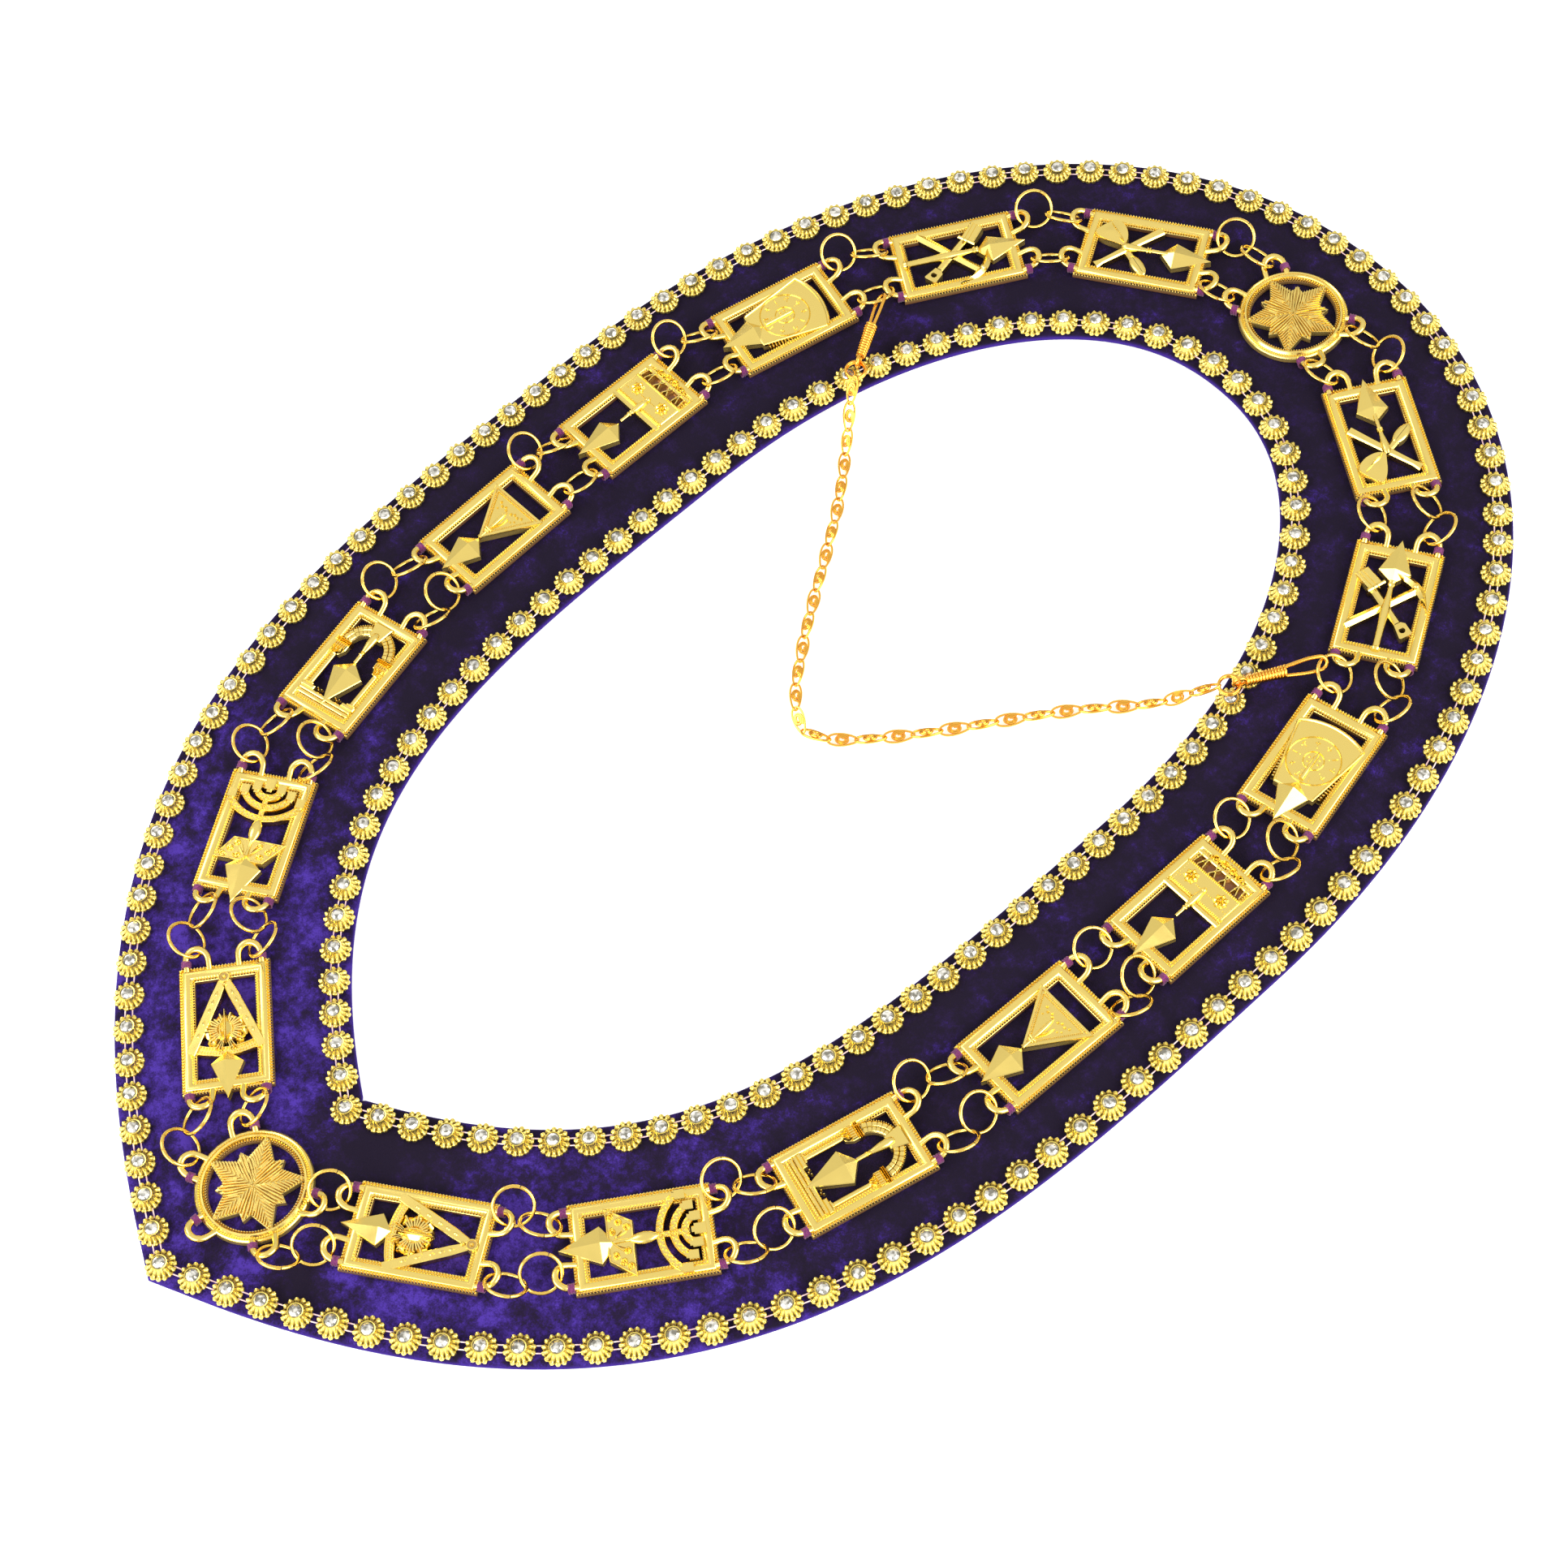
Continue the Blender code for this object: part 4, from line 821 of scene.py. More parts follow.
MIRROR = np.array([-1.0, 1.0, 1.0])
SIDES = (("right", np.ones(3)), ("left", MIRROR))
for track, track_name in ((1, "outer"), (-1, "inner")):
    for gap, (first, second) in enumerate(gap_holes(track), 1):
        outward = track * np.cross(unit(second - first), UP)
        for side_name, flip in SIDES:
            rings = [jump_ring(*span) for span in ring_spans(first * flip, second * flip, outward * flip)]
            label = f"{side_name}_{track_name}_{gap}"
            piece("jump_rings_" + label, rings, wire_gold, ["rings_" + label], crisp=60)
print("jump rings", sum(count for name, count in made.items() if name.startswith("jump")), "triangles")

# %% [markdown]
# The safety chain keeps the collar on the shoulders. Its links are scroll links: a long tapering loop of
# wire with a wire spiral rolled in its middle. Links of a chain can't touch without holding each other,
# so neighbours overlap at their ends by more than a wire's thickness, and every second one is tilted.
# The run is a smooth line through a few chosen places, and the links divide it evenly.

# %% Safety chain
CHAIN_WIRE = 0.85 * MM
LINK_HALF = 5.2 * MM
LINK_WIDTH = 1.9 * MM
LINK_TAPER = 0.25
LINK_TILT = math.radians(24)
LINK_BITE = 1.25 * CHAIN_WIRE
SPIRAL_TURNS = 2.25
SPIRAL_START = 0.6
SPIRAL_HALF = 2.6 * MM
SPIRAL_WIDTH = 1.6 * MM
ROUTE_STEPS = 600
END_RING_RADIUS = 0.0035
END_RING_WIRE = 0.0010
END_RING_DROP = 0.9 * MM
CLASP_GAP = 6
CLASP_SPAN = 0.0303
CLASP_SWING = math.radians(37.6)

# Half of the run from its middle: x, y from the point disc, and height
CHAIN_ROUTE = (
    (0.0000, 0.2320, 0.0016),
    (0.0095, 0.2370, 0.0016),
    (0.0200, 0.2485, 0.0016),
    (0.0325, 0.2650, 0.0016),
    (0.0455, 0.2840, 0.0016),
    (0.0580, 0.3015, 0.0016),
    (0.0660, 0.3110, 0.0016),
    (0.0740, 0.3202, 0.0020),
    (0.0795, 0.3265, 0.0048),
    (0.0842, 0.3324, 0.0088),
    (0.0878, 0.3372, 0.0102),
    (0.0900, 0.3400, 0.0102),
)


def clasp_places():
    """Where the right clasp holds its jump ring, on top of the long arc, and the end ring's centre."""
    first, second = gap_holes(-1)[CLASP_GAP]
    inward = np.cross(UP, unit(second - first))
    centre, _, tilt = ring_between(*ring_spans(first, second, inward)[0])
    hooked = centre + RING_RADIUS * tilt
    heading = math.atan2(tilt[1], tilt[0]) + CLASP_SWING
    end_ring = hooked + CLASP_SPAN * np.array([math.cos(heading), math.sin(heading), 0.0])
    end_ring[2] = CHAIN_ROUTE[-1][2]
    return hooked, end_ring


def smooth_line(points, count):
    """Catmull-Rom: between two places the line is a cubic that also looks at the places beside them."""
    padded = np.vstack([2 * points[0] - points[1], points, 2 * points[-1] - points[-2]])
    before, here, there, after = (padded[shift:len(padded) - 3 + shift, None] for shift in range(4))
    part = np.linspace(0, 1, 16, endpoint=False)[None, :, None]
    bend = 2 * before - 5 * here + 4 * there - after
    twist = -before + 3 * here - 3 * there + after
    line = 0.5 * (2 * here + (there - before) * part + bend * part**2 + twist * part**3)
    return evenly(np.vstack([line.reshape(-1, points.shape[1]), points[-1:]]), count)


def scroll_link():
    """A tapered loop x = a cos t, y = b sin t (1 - cos t / 4), and a spiral that shrinks as it rises."""
    turn = np.linspace(0, 2 * math.pi, 28, endpoint=False)
    width = LINK_WIDTH * (1 - LINK_TAPER * np.cos(turn))
    loop = np.stack([LINK_HALF * np.cos(turn), width * np.sin(turn), 0 * turn], 1)
    wind = np.linspace(0, 1, 40)
    turns = 2 * math.pi * SPIRAL_TURNS * wind + SPIRAL_START
    spiral = np.stack([SPIRAL_HALF * (1 - 0.72 * wind) * np.cos(turns),
                       SPIRAL_WIDTH * (1 - 0.68 * wind) * np.sin(turns), (0.3 + 0.6 * wind) * MM], 1)
    wire = circle(CHAIN_WIRE / 2, 6)
    return together([carried(loop, wire, UP, ring=True), carried(spiral, wire, UP)])


HOOKED, END_RING = clasp_places()
listed = np.array(CHAIN_ROUTE) + (0.0, DISC_Y, 0.0)
share = np.linspace(0, 1, len(listed) - 1)[:, None]
half_run = listed[:-1] + share**2 * (END_RING - listed[-1])
route = smooth_line(np.vstack([half_run[:0:-1] * MIRROR, half_run]), ROUTE_STEPS)
link_count = round(length_of(route) / (2 * LINK_HALF - LINK_BITE))
stops = evenly(route, link_count + 1)
link_ahead = unit(np.diff(stops, axis=0))
link_side = unit(np.cross(UP, link_ahead))
link_up = np.cross(link_ahead, link_side)
lean = (LINK_TILT * (-1.0) ** np.arange(link_count))[:, None]
link_axes = np.stack([link_ahead, np.cos(lean) * link_side + np.sin(lean) * link_up,
                      np.cos(lean) * link_up - np.sin(lean) * link_side], 1)
links = copies(scroll_link(), (stops[1:] + stops[:-1]) / 2, link_axes)
EAST, NORTH = np.eye(3)[:2]
end_rings = [wire_circle(END_RING * flip - drop * UP, EAST, NORTH, END_RING_RADIUS, END_RING_WIRE)
             for _, flip in SIDES for drop in (0.0, END_RING_DROP)]
piece("scroll_chain", [links, *end_rings], chain_gold, ["safety_chain"], crisp=60)
print("chain", round(length_of(route) / MM), "mm,", link_count, "links")

# %% [markdown]
# Each clasp is one length of springy wire: a hook that closes on itself, a shank wrapped in a close coil,
# and an eye. The coil is a helix that narrows towards the eye, with a pitch just under the wire's
# thickness, so its turns touch as real ones do. The hook leans over, so that its broad side is seen.

# %% Snap hooks
CLASP_HOOK_RADIUS = 0.0024
CLASP_WIRE = 0.0013
CLASP_NECK = 0.0080
CLASP_COIL_LENGTH = 0.0135
CLASP_COIL_FRONT = 0.0024
CLASP_COIL_BACK = 0.0018
COIL_WIRE = 0.0011
CLASP_EYE_RADIUS = 0.0021
COIL_TURNS = 13
HOOK_SHOULDER = 0.55
SHANK_SHARE = 0.68
CORE_SHARE = 0.7
CLASP_LEAN = math.radians(40)


def heading(degrees):
    """The flat direction (cos a, sin a), or one for each angle of an array."""
    angle = np.radians(degrees)
    return np.stack([np.cos(angle), np.sin(angle)], -1)


def arc(centre, radius, first, last, steps):
    """Points a radius from the centre, for steps angles from first to last, in degrees."""
    return np.asarray(centre) + radius * heading(np.linspace(first, last, steps))


def clasp(hooked_on, end_ring):
    """Hook, coil and eye along the line from the held ring to the end ring's near side."""
    flat = (end_ring - hooked_on) * (1, 1, 0)
    eye = hooked_on + unit(flat) * (np.linalg.norm(flat) - END_RING_RADIUS)
    eye[2] = end_ring[2]
    length = np.linalg.norm(eye - hooked_on)
    along = (eye - hooked_on) / length
    sideways = unit(np.cross(along, UP))
    upright = np.cross(sideways, along)
    lean = math.copysign(CLASP_LEAN, sideways[1])
    above = upright * math.cos(lean) + sideways * math.sin(lean)
    sideways = np.cross(along, above)
    coil_end = length - CLASP_EYE_RADIUS
    coil_start = coil_end - CLASP_COIL_LENGTH
    shank = SHANK_SHARE * CLASP_HOOK_RADIUS
    leg = np.array([(coil_start + 2 * CLASP_WIRE, shank), (coil_start, shank),
                    (CLASP_NECK * HOOK_SHOULDER, CLASP_HOOK_RADIUS)])
    shape = np.vstack([leg, arc((0, 0), CLASP_HOOK_RADIUS, 90, 270, 14), leg[::-1] * (1, -1)])
    hook_path = hooked_on + shape[:, :1] * along + shape[:, 1:] * above
    hook = carried(smooth_line(hook_path, 60), circle(CLASP_WIRE / 2, 8), sideways)
    share = np.linspace(0, 1, 16 * COIL_TURNS)[:, None]
    angle = 2 * math.pi * COIL_TURNS * share
    radius = CLASP_COIL_FRONT + (CLASP_COIL_BACK - CLASP_COIL_FRONT) * share - COIL_WIRE / 2
    helix = hooked_on + along * (coil_start + CLASP_COIL_LENGTH * share)
    helix = helix + radius * (np.cos(angle) * sideways + np.sin(angle) * above)
    coil = carried(helix, circle(COIL_WIRE / 2, 8), along)
    core_line = hooked_on + np.outer([coil_start, coil_end], along)
    # Painted shade: the shank inside the coil is darkened.
    core = carried(core_line, circle(CLASP_COIL_BACK * CORE_SHARE, 8), above, tone=0.8)
    return [hook, coil, core, wire_circle(eye, along, upright, CLASP_EYE_RADIUS, CLASP_WIRE, steps=24)]


for side_name, flip in SIDES:
    piece(side_name + "_snap_hook", clasp(HOOKED * flip, END_RING * flip), chain_gold,
          [side_name + "_clasp"], crisp=60)
print("snap hooks", made["right_snap_hook"], "triangles each")

# %% [markdown]
# Next come the cast plates. A die maker cuts such relief from few kinds of form: mouldings, bars, leaves,
# turned knobs, ropes of beads and flat grounds in steps. Each kind is a short function here, in
# millimetres, in the frame of one plate: x to its right, y towards the neck, z up from its back.

# %% Kinds of relief: outlines and grounds


def oval(centre, half_width, half_height, steps=24):
    """An ellipse's outline."""
    return np.asarray(centre) + circle(1.0, steps) * (half_width, half_height)


def inset(outline, distance):
    """Each corner moved inward along its mitre, distance * (n0 + n1) / (1 + n0 . n1)."""
    first = left_of(unit(outline - np.roll(outline, 1, 0)))
    second = left_of(unit(np.roll(outline, -1, 0) - outline))
    return outline + distance * (first + second) / (1 + np.sum(first * second, 1, keepdims=True))


def ground(outline, *steps):
    """An outline carried inward and up in steps of (inset, height, painted shade), and closed above and
    below.
    """
    outline = np.asarray(outline, float)
    there = np.roll(outline, -1, 0)
    if np.sum(outline[:, 0] * there[:, 1] - outline[:, 1] * there[:, 0]) < 0:
        outline = outline[::-1]
    rows = [at_height(inset(outline, by), height) for by, height, _ in steps]
    return loft(rows, tone=np.array(steps, float)[:, 2:])


def slab(outline, high, edge=0.3):
    """A plain ground with a bevelled edge."""
    return ground(outline, (0, 0, 0.6), (0, high - edge, 0.1), (edge, high, 0.0))


def tray(outline, high, rim, sink):
    """A ground with a raised rim round a sunk floor."""
    return ground(outline, (0, 0, 0.6), (0, high - 0.25, 0.1), (0.2, high, 0), (rim, high, 0),
                  (rim + 0.15, high - sink, 0.35), (rim + 0.5, high - sink, 0.05))


print("an oval's inset", np.round(np.ptp(inset(oval((0, 0), 3, 2), 0.5), axis=0), 2), "mm")

# %% [markdown]
# Bars and leaves are one section carried along a line, with a width that may change on the way. Beads and
# ribs are small templates with a few dozen faces, because a plate has hundreds of them. The axes that
# place a copy also give it its length, width and height.

# %% Kinds of relief: bars, leaves, turned handles, beads and ribs


def flat_bar(width, high, low=0.0, edge=0.3):
    """Section with upright sides, a bevel and a flat top. width may be a number for each place."""
    half = np.asarray(width, float) / 2
    edge = np.minimum(edge, 0.8 * half)
    across = np.stack([-half, -half, edge - half, half - edge, half, half], -1)
    heights = np.stack([low + 0 * half, high - edge, high + 0 * half] * 2, -1)[..., [0, 1, 2, 2, 1, 0]]
    return np.stack([across, heights], -1)


def channel(width, high, rim, sink):
    """Section with a raised rim along each side of a sunk floor."""
    half = width / 2
    right = np.array([(half - rim - 0.15, high - sink), (half - rim, high), (half - 0.2, high),
                      (half, high - 0.25), (half, 0)])
    return np.vstack([right[::-1] * (-1, 1), right])


def ridge(width, high, low, eaves):
    """Section with upright sides up to a share of the height, and a roof to a ridge."""
    half = np.asarray(width, float) / 2
    shoulder = low + eaves * (high - low) + 0 * half
    across = np.stack([-half, -half, 0 * half, half, half], -1)
    heights = np.stack([low + 0 * half, shoulder, high + 0 * half, shoulder, low + 0 * half], -1)
    return np.stack([across, heights], -1)


def along(path, section, tone=0.0, ring=False, flat=False):
    """A section carried along a line of (x, y), or of (x, y, z)."""
    path = at_height(path, 0.0) if np.shape(path)[1] == 2 else path
    return carried(path, section, UP, ring, tone, flat)


def leaf(start, end, width, high, low=0.0, fullest=0.5, steps=9, blunt=0.08):
    """A ridge whose width is w * sin(pi * s^k), where k puts the fullest place at its share of s."""
    share = np.linspace(0, 1, steps)
    swell = np.sin(math.pi * share ** (math.log(0.5) / math.log(fullest)))
    path = np.asarray(start) + share[:, None] * np.subtract(end, start)
    return along(path, ridge(width * np.maximum(swell, blunt), high, low, 0.4))


def turned(start, end, *stations, squash=1.0):
    """A round handle: stations of (share of its length, radius), about a line from start to end."""
    share, radius = np.array(stations).T
    path = np.asarray(start, float) + share[:, None] * np.subtract(end, start)
    return along(path, circle(radius, 12, squash))


# A bead's rows: share of its size, height and painted shade. A rib's rows: place and swell. Its section:
# across, height and painted shade, darkest at the feet
BEAD_ROWS = np.array([(1.0, 0.0, 0.4), (0.88, 0.50, 0.0), (0.42, 0.96, 0.0)])
RIB_ROWS = np.array([(0.0, 0.45), (0.12, 0.9), (0.85, 1.0), (1.0, 0.5)])
RIB_SECTION = np.array([(-0.5, 0.0, 0.35), (-0.22, 1.0, 0.0), (0.22, 1.0, 0.0), (0.5, 0.0, 0.35)])
share, rise, depth = BEAD_ROWS.T[:, :, None]
BEAD = loft(around(2 * math.pi * np.arange(6) / 6, 0.5 * share, rise), tone=depth)
place, swell = RIB_ROWS.T[:, :, None]
across, rise, depth = RIB_SECTION.T
RIB = loft(np.stack(np.broadcast_arrays(place, swell * across, rise), -1), tone=depth)


def dots(places, size, high, low):
    """Domes at places, size wide, from low to high."""
    return copies(BEAD, at_height(places, low), np.diag([size, size, high - low]))


def beads(path, pitch, width, high, low, slant=0.0, closed=False, length=None):
    """Domes along a line, about a pitch apart, turned by a slant in degrees like a rope's strands."""
    path = np.asarray(path, float)
    whole = np.vstack([path, path[:1]]) if closed else path
    stops = evenly(whole, round(length_of(whole) / pitch) + 1)
    ahead = unit(np.diff(stops, axis=0))
    lying = math.cos(math.radians(slant)) * ahead + math.sin(math.radians(slant)) * left_of(ahead)
    axes = flat_axes(lying * (length or pitch), left_of(lying) * width, high - low)
    return copies(BEAD, at_height((stops[1:] + stops[:-1]) / 2, low), axes)


def ribs(starts, ends, width, high, low):
    """Straight ribs from starts to ends."""
    run = np.subtract(ends, starts)
    return copies(RIB, at_height(starts, low), flat_axes(run, unit(left_of(run)) * width, high - low))


print("a bead has", triangle_count(BEAD), "triangles, a rib", triangle_count(RIB))

# %% [markdown]
# Every rectangular plate has the same frame: a rope of slanting beads round its rim, a rounded moulding,
# and a row of small beads round the window. The moulding is one profile at each of the four corners, so
# the corners are mitred as a frame maker would cut them. The blade of a trowel is a kite, and its four
# facets meet in a peak.

# %% Plate frame, loops and trowel blade

# The moulding from its outer foot to its inner one: distance inward, height and painted shade, darkest on
# the walls
FRAME_PROFILE = np.array([
    (0.15, 0.00, 1.0), (0.15, 1.60, 0.8), (0.30, 1.80, 0.1), (1.15, 1.90, 0.2), (1.30, 2.30, 0.0),
    (1.60, 2.70, 0.0), (2.10, 2.90, 0.0), (2.70, 2.95, 0.0), (3.40, 2.60, 0.0), (3.90, 2.10, 0.0),
    (4.05, 1.95, 0.1), (5.05, 1.90, 0.1), (5.20, 1.75, 0.5), (5.20, 1.40, 0.9), (5.20, 0.00, 1.0),
])
ROPE_INSET = 0.62
INNER_INSET = 4.62
LOOP_WIRE = 2.3
LOOP_ROOT = 1.2
PLATE_HALF = np.array([PLATE_WIDTH, PLATE_LENGTH]) / 2 / MM
LOOP_X = LOOP_SPACING / 2 / MM


def rectangle(half_width, half_height, centre=(0, 0)):
    """Four corners, anticlockwise."""
    return np.asarray(centre) + np.array([(-1, -1), (1, -1), (1, 1), (-1, 1)]) * (half_width, half_height)


def cast_loop(spot, outward, across):
    """A U of round wire: leg, half circle, leg. It rises outward, with v * tan(LOOP_RISE)."""
    radius, leg = LOOP_RADIUS / MM, LOOP_LEG / MM
    foot = np.array([(-radius, -LOOP_ROOT), (-radius, leg * 0.5)])
    plan = np.vstack([foot, arc((0, leg), radius, 180, 0, 15), foot[::-1] * (-1, 1)])
    height = LOOP_HEIGHT / MM + plan[:, 1] * math.tan(LOOP_RISE)
    path = spot + plan[:, :1] * across + plan[:, 1:] * outward
    return carried(at_height(path, height), circle(LOOP_WIRE / 2, 10), UP)


def plate_frame():
    """Moulding, rope, inner beads and four loops."""
    by, height, tone = FRAME_PROFILE.T
    sections = [at_height(corner * (PLATE_HALF - by[:, None]), height) for corner in rectangle(1, 1)]
    loops = [cast_loop((side * LOOP_X, end * PLATE_HALF[1]), np.array([0, end]), np.array([1, 0]))
             for end in (1, -1) for side in (1, -1)]
    return [
        loft(sections, ring=True, tone=tone),
        beads(rectangle(*(PLATE_HALF - ROPE_INSET)), 1.02, 1.25, 2.60, 1.60, 28, True, 0.98),
        beads(rectangle(*(PLATE_HALF - INNER_INSET)), 0.95, 1.05, 2.70, 1.80, 12, True, 0.88),
        *loops,
    ]


def tiers(outline, middle, rows, flat=False):
    """An outline shrunk about a middle, in rows of (share of its size, height or heights, painted shade).
    """
    sections = [at_height(middle + share * (outline - middle), height) for share, height, _ in rows]
    return loft(sections, tone=np.array([tone for _, _, tone in rows])[:, None], flat=flat)


# How high the blade's edge lies at the heel, a shoulder, the tip and the other shoulder
BLADE_EDGE = np.array([2.6, 2.5, 3.1, 2.5])


def blade(heel, shoulders, tip, width, high=4.7):
    """A kite with upright sides and four facets up to a peak on the line between its shoulders."""
    kite = np.array([(0, heel), (width / 2, shoulders), (0, tip), (-width / 2, shoulders)])
    return tiers(kite, np.array([0, shoulders]), flat=True, rows=(
        (1.0, 0, 0.6), (1.0, BLADE_EDGE - 0.25, 0.1), (0.96, BLADE_EDGE, 0.0), (0.02, high, 0.0)))


print("a frame has", triangle_count(together(plate_frame())), "triangles")

# %% [markdown]
# Eight castings follow, each used twice, once on each side of the collar. The places are read off the
# photograph of each plate, in millimetres. The compasses: two hinged legs, an arc with a stippled band
# between them, and on the axis a bud in a burst of petals, over the point of the blade.

# %% Emblem: compasses


def compasses():
    """Legs, arc, petals, bud and hinge, from the back to the front."""
    hinge = np.array([0, 17.2])
    foot = np.array([11.6, -8.6])
    shells = [along(arc(hinge, 25.9, -114.5, -65.5, 25), channel(3.3, 2.5, 0.45, 0.45))]
    for radius in (26.4, 25.3):
        shells.append(beads(arc(hinge, radius, -113, -67, 25), 0.95, 0.75, 2.45, 1.9, length=0.75))
    for side in (1, -1):
        run = foot * (side, 1) - hinge
        leg = hinge + np.outer((0.03, 0.25, 0.6, 1.0), run)
        shells.append(along(leg, flat_bar((2.6, 3.4, 3.3, 3.0), 3.0, edge=0.25)))
        for share in (0.22, 0.33, 0.44, 0.60, 0.76):
            shells.append(leaf(*(hinge + np.outer((share - 0.03, share + 0.035), run)), 1.1, 3.3, 2.9))
    middle = np.array([0, -1.4])
    # Painted shade: a low disc under the petals, dark all over.
    shells.append(ground(oval(middle, 4.6, 3.9, 20), (0, 0, 1), (0, 1.8, 1), (0.3, 2.0, 0.8)))
    for petal in range(8):
        ray = heading(-36 + 36 * petal)
        fan = heading(-36 + 36 * petal + np.array([-11, 0, 11]))
        reach = 5.6 + 2.1 * abs(ray[0])
        tips = reach * np.array([0.72, 0.94, 0.72])[:, None]
        shells += [
            leaf(middle + 2.2 * ray, middle + reach * ray, 4.1, 3.1, 0.0, 0.68, blunt=0.4),
            ribs(middle + 2.6 * fan, middle + tips * fan, 1.2, 3.4, 2.1),
        ]
    shells.append(slab(oval((0, -1.3), 2.7, 4.7, 16), 3.1, edge=0.5))
    for side in (1, -1):
        shells.append(leaf((0.5 * side, -6.2), (0.25 * side, 4.4), 2.9, 4.2, 2.4))
    shells.append(ribs([(0, -6.4)], [(0, 5.2)], 0.55, 4.5, 2.4))
    for side in (1, -1):
        starts = np.array([(0.5, -5.0), (0.9, -4.9), (1.3, -4.8)]) * (side, 1)
        ends = np.array([(1.5, -8.2), (2.4, -8.3), (3.3, -7.8)]) * (side, 1)
        shells += [
            leaf((0.3 * side, -4.6), (3.1 * side, -8.3), 2.9, 2.8, 0.0, 0.65, blunt=0.5),
            ribs(starts, ends, 0.6, 3.3, 2.2),
        ]
    return shells + [
        ground(oval(hinge, 2.05, 2.05, 16), (0, 0, 0.6), (0, 3.2, 0.2), (0.25, 3.5, 0), (0.55, 3.5, 0),
               (0.7, 3.2, 0.6)),
        dots([hinge, hinge + (0.2, -2.9)], 1.7, 3.9, 2.9),
        blade(-8.8, -12.7, -25.3, 10.8),
    ]


# %% [markdown]
# The branched candlestick: three shallow arcs one above another, with pitted faces, a stem, seven cups in
# a row and a scrolled foot under the trowel's handle.

# %% Emblem: candlestick


def scrolls(places, size, high, low):
    """A spiral wire at each place, its radius shrinking with the angle, wound left and right by turns."""
    wind = np.linspace(0, 1, 15)
    shells = []
    for number, (x, y) in enumerate(places):
        hand = 1 if number % 2 else -1
        angle = hand * 2 * math.pi * 1.3 * wind + number
        spread = (size * (1 - 0.7 * wind))[:, None]
        line = np.array([x, y]) + spread * np.stack([np.cos(angle), 0.8 * np.sin(angle)], 1)
        shells.append(along(line, ridge(0.95, high + 0.15, low, 0.3)))
    return shells


def candlestick():
    """Foot, arms, stem, cups and handle.

    An arm that reaches r to each side and rises by h has the radius (r^2 + h^2) / (2 h).
    """
    curls = [(-8.3, -9.2), (-6.2, -7.0), (-4.6, -4.6), (-3.4, -8.9), (4.6, -8.6), (6.6, -6.4),
             (8.4, -4.3), (3.4, -5.0)]
    shells = [
        tray([(-11.4, -10.9), (6.2, -10.9), (12.2, -2.8), (-6.2, -2.4)], 3.1, 0.45, 0.3),
        *scrolls(curls, 1.15, 3.35, 2.7),
        ribs([(0.9, -8.7), (1.3, -7.8), (-1.2, -8.5), (-1.4, -7.6)],
             [(3.3, -6.0), (2.8, -4.6), (-3.4, -6.0), (-2.9, -4.6)], 0.6, 3.5, 2.8),
    ]
    for reach, low, rise in ((11.7, 5.3, 5.6), (7.8, 9.6, 4.2), (4.2, 13.2, 2.8)):
        radius = (reach**2 + rise**2) / (2 * rise)
        half = math.degrees(math.asin(reach / radius))
        centre = np.array([0, low + radius])
        arm = arc(centre, radius, -90 - half, -90 + half, 9 + int(reach * 1.6))
        count = round(2 * reach / 0.8)
        pits = arc(centre, radius, -90 - half + 2, -90 + half - 2, count)
        pits += 0.42 * np.where(np.arange(count) % 2, 1, -1)[:, None] * unit(pits - centre)
        shells += [along(arm, channel(2.5, 3.1, 0.3, 0.3)), dots(pits, 0.85, 3.4, 2.7)]
    stem = np.column_stack([0.35 * np.where(np.arange(12) % 2, 1, -1), np.linspace(4.9, 14.2, 12)])
    shells += [along([(0, 4.2), (0, 14.6)], channel(2.1, 3.0, 0.3, 0.25)), dots(stem, 0.8, 3.3, 2.6)]
    for x, y, size in ((0, 17.9, 3.7), (4.3, 16.7, 3.2), (8.1, 15.0, 3.1), (12.0, 12.8, 3.2)):
        for side in (1, -1) if x else (1,):
            cup = np.array([x * side, y])
            shells += [
                along([cup - (0, size / 2), cup + (0, size / 2)], flat_bar(size, 3.7, edge=0.3)),
                along([cup - (0, size / 2 + 0.9), cup - (0, size / 2)], flat_bar(1.9, 3.4, edge=0.3)),
            ]
    return shells + [
        turned((0, -3.8, 2.8), (0, 4.9, 2.8), (0, 0.6), (0.1, 1.2), (0.28, 1.9), (0.5, 2.2), (0.75, 1.9),
               (0.93, 1.1), (1, 0.4), squash=0.65),
        turned((0, -9, 2.9), (0, -3.2, 2.9), (0, 0.8), (0.4, 0.5), (0.9, 0.5), (1, 0.7)),
        blade(-8.2, -13.0, -26.2, 12.5),
    ]


# %% [markdown]
# The arch: three steps across the foot, a column on each side with its base and leafy capital, and two
# rows of wedge-shaped stones round the opening with a keystone on top.

# %% Emblem: arch
STONES_A_SIDE = 6
JOINT_DEGREES = 1.8


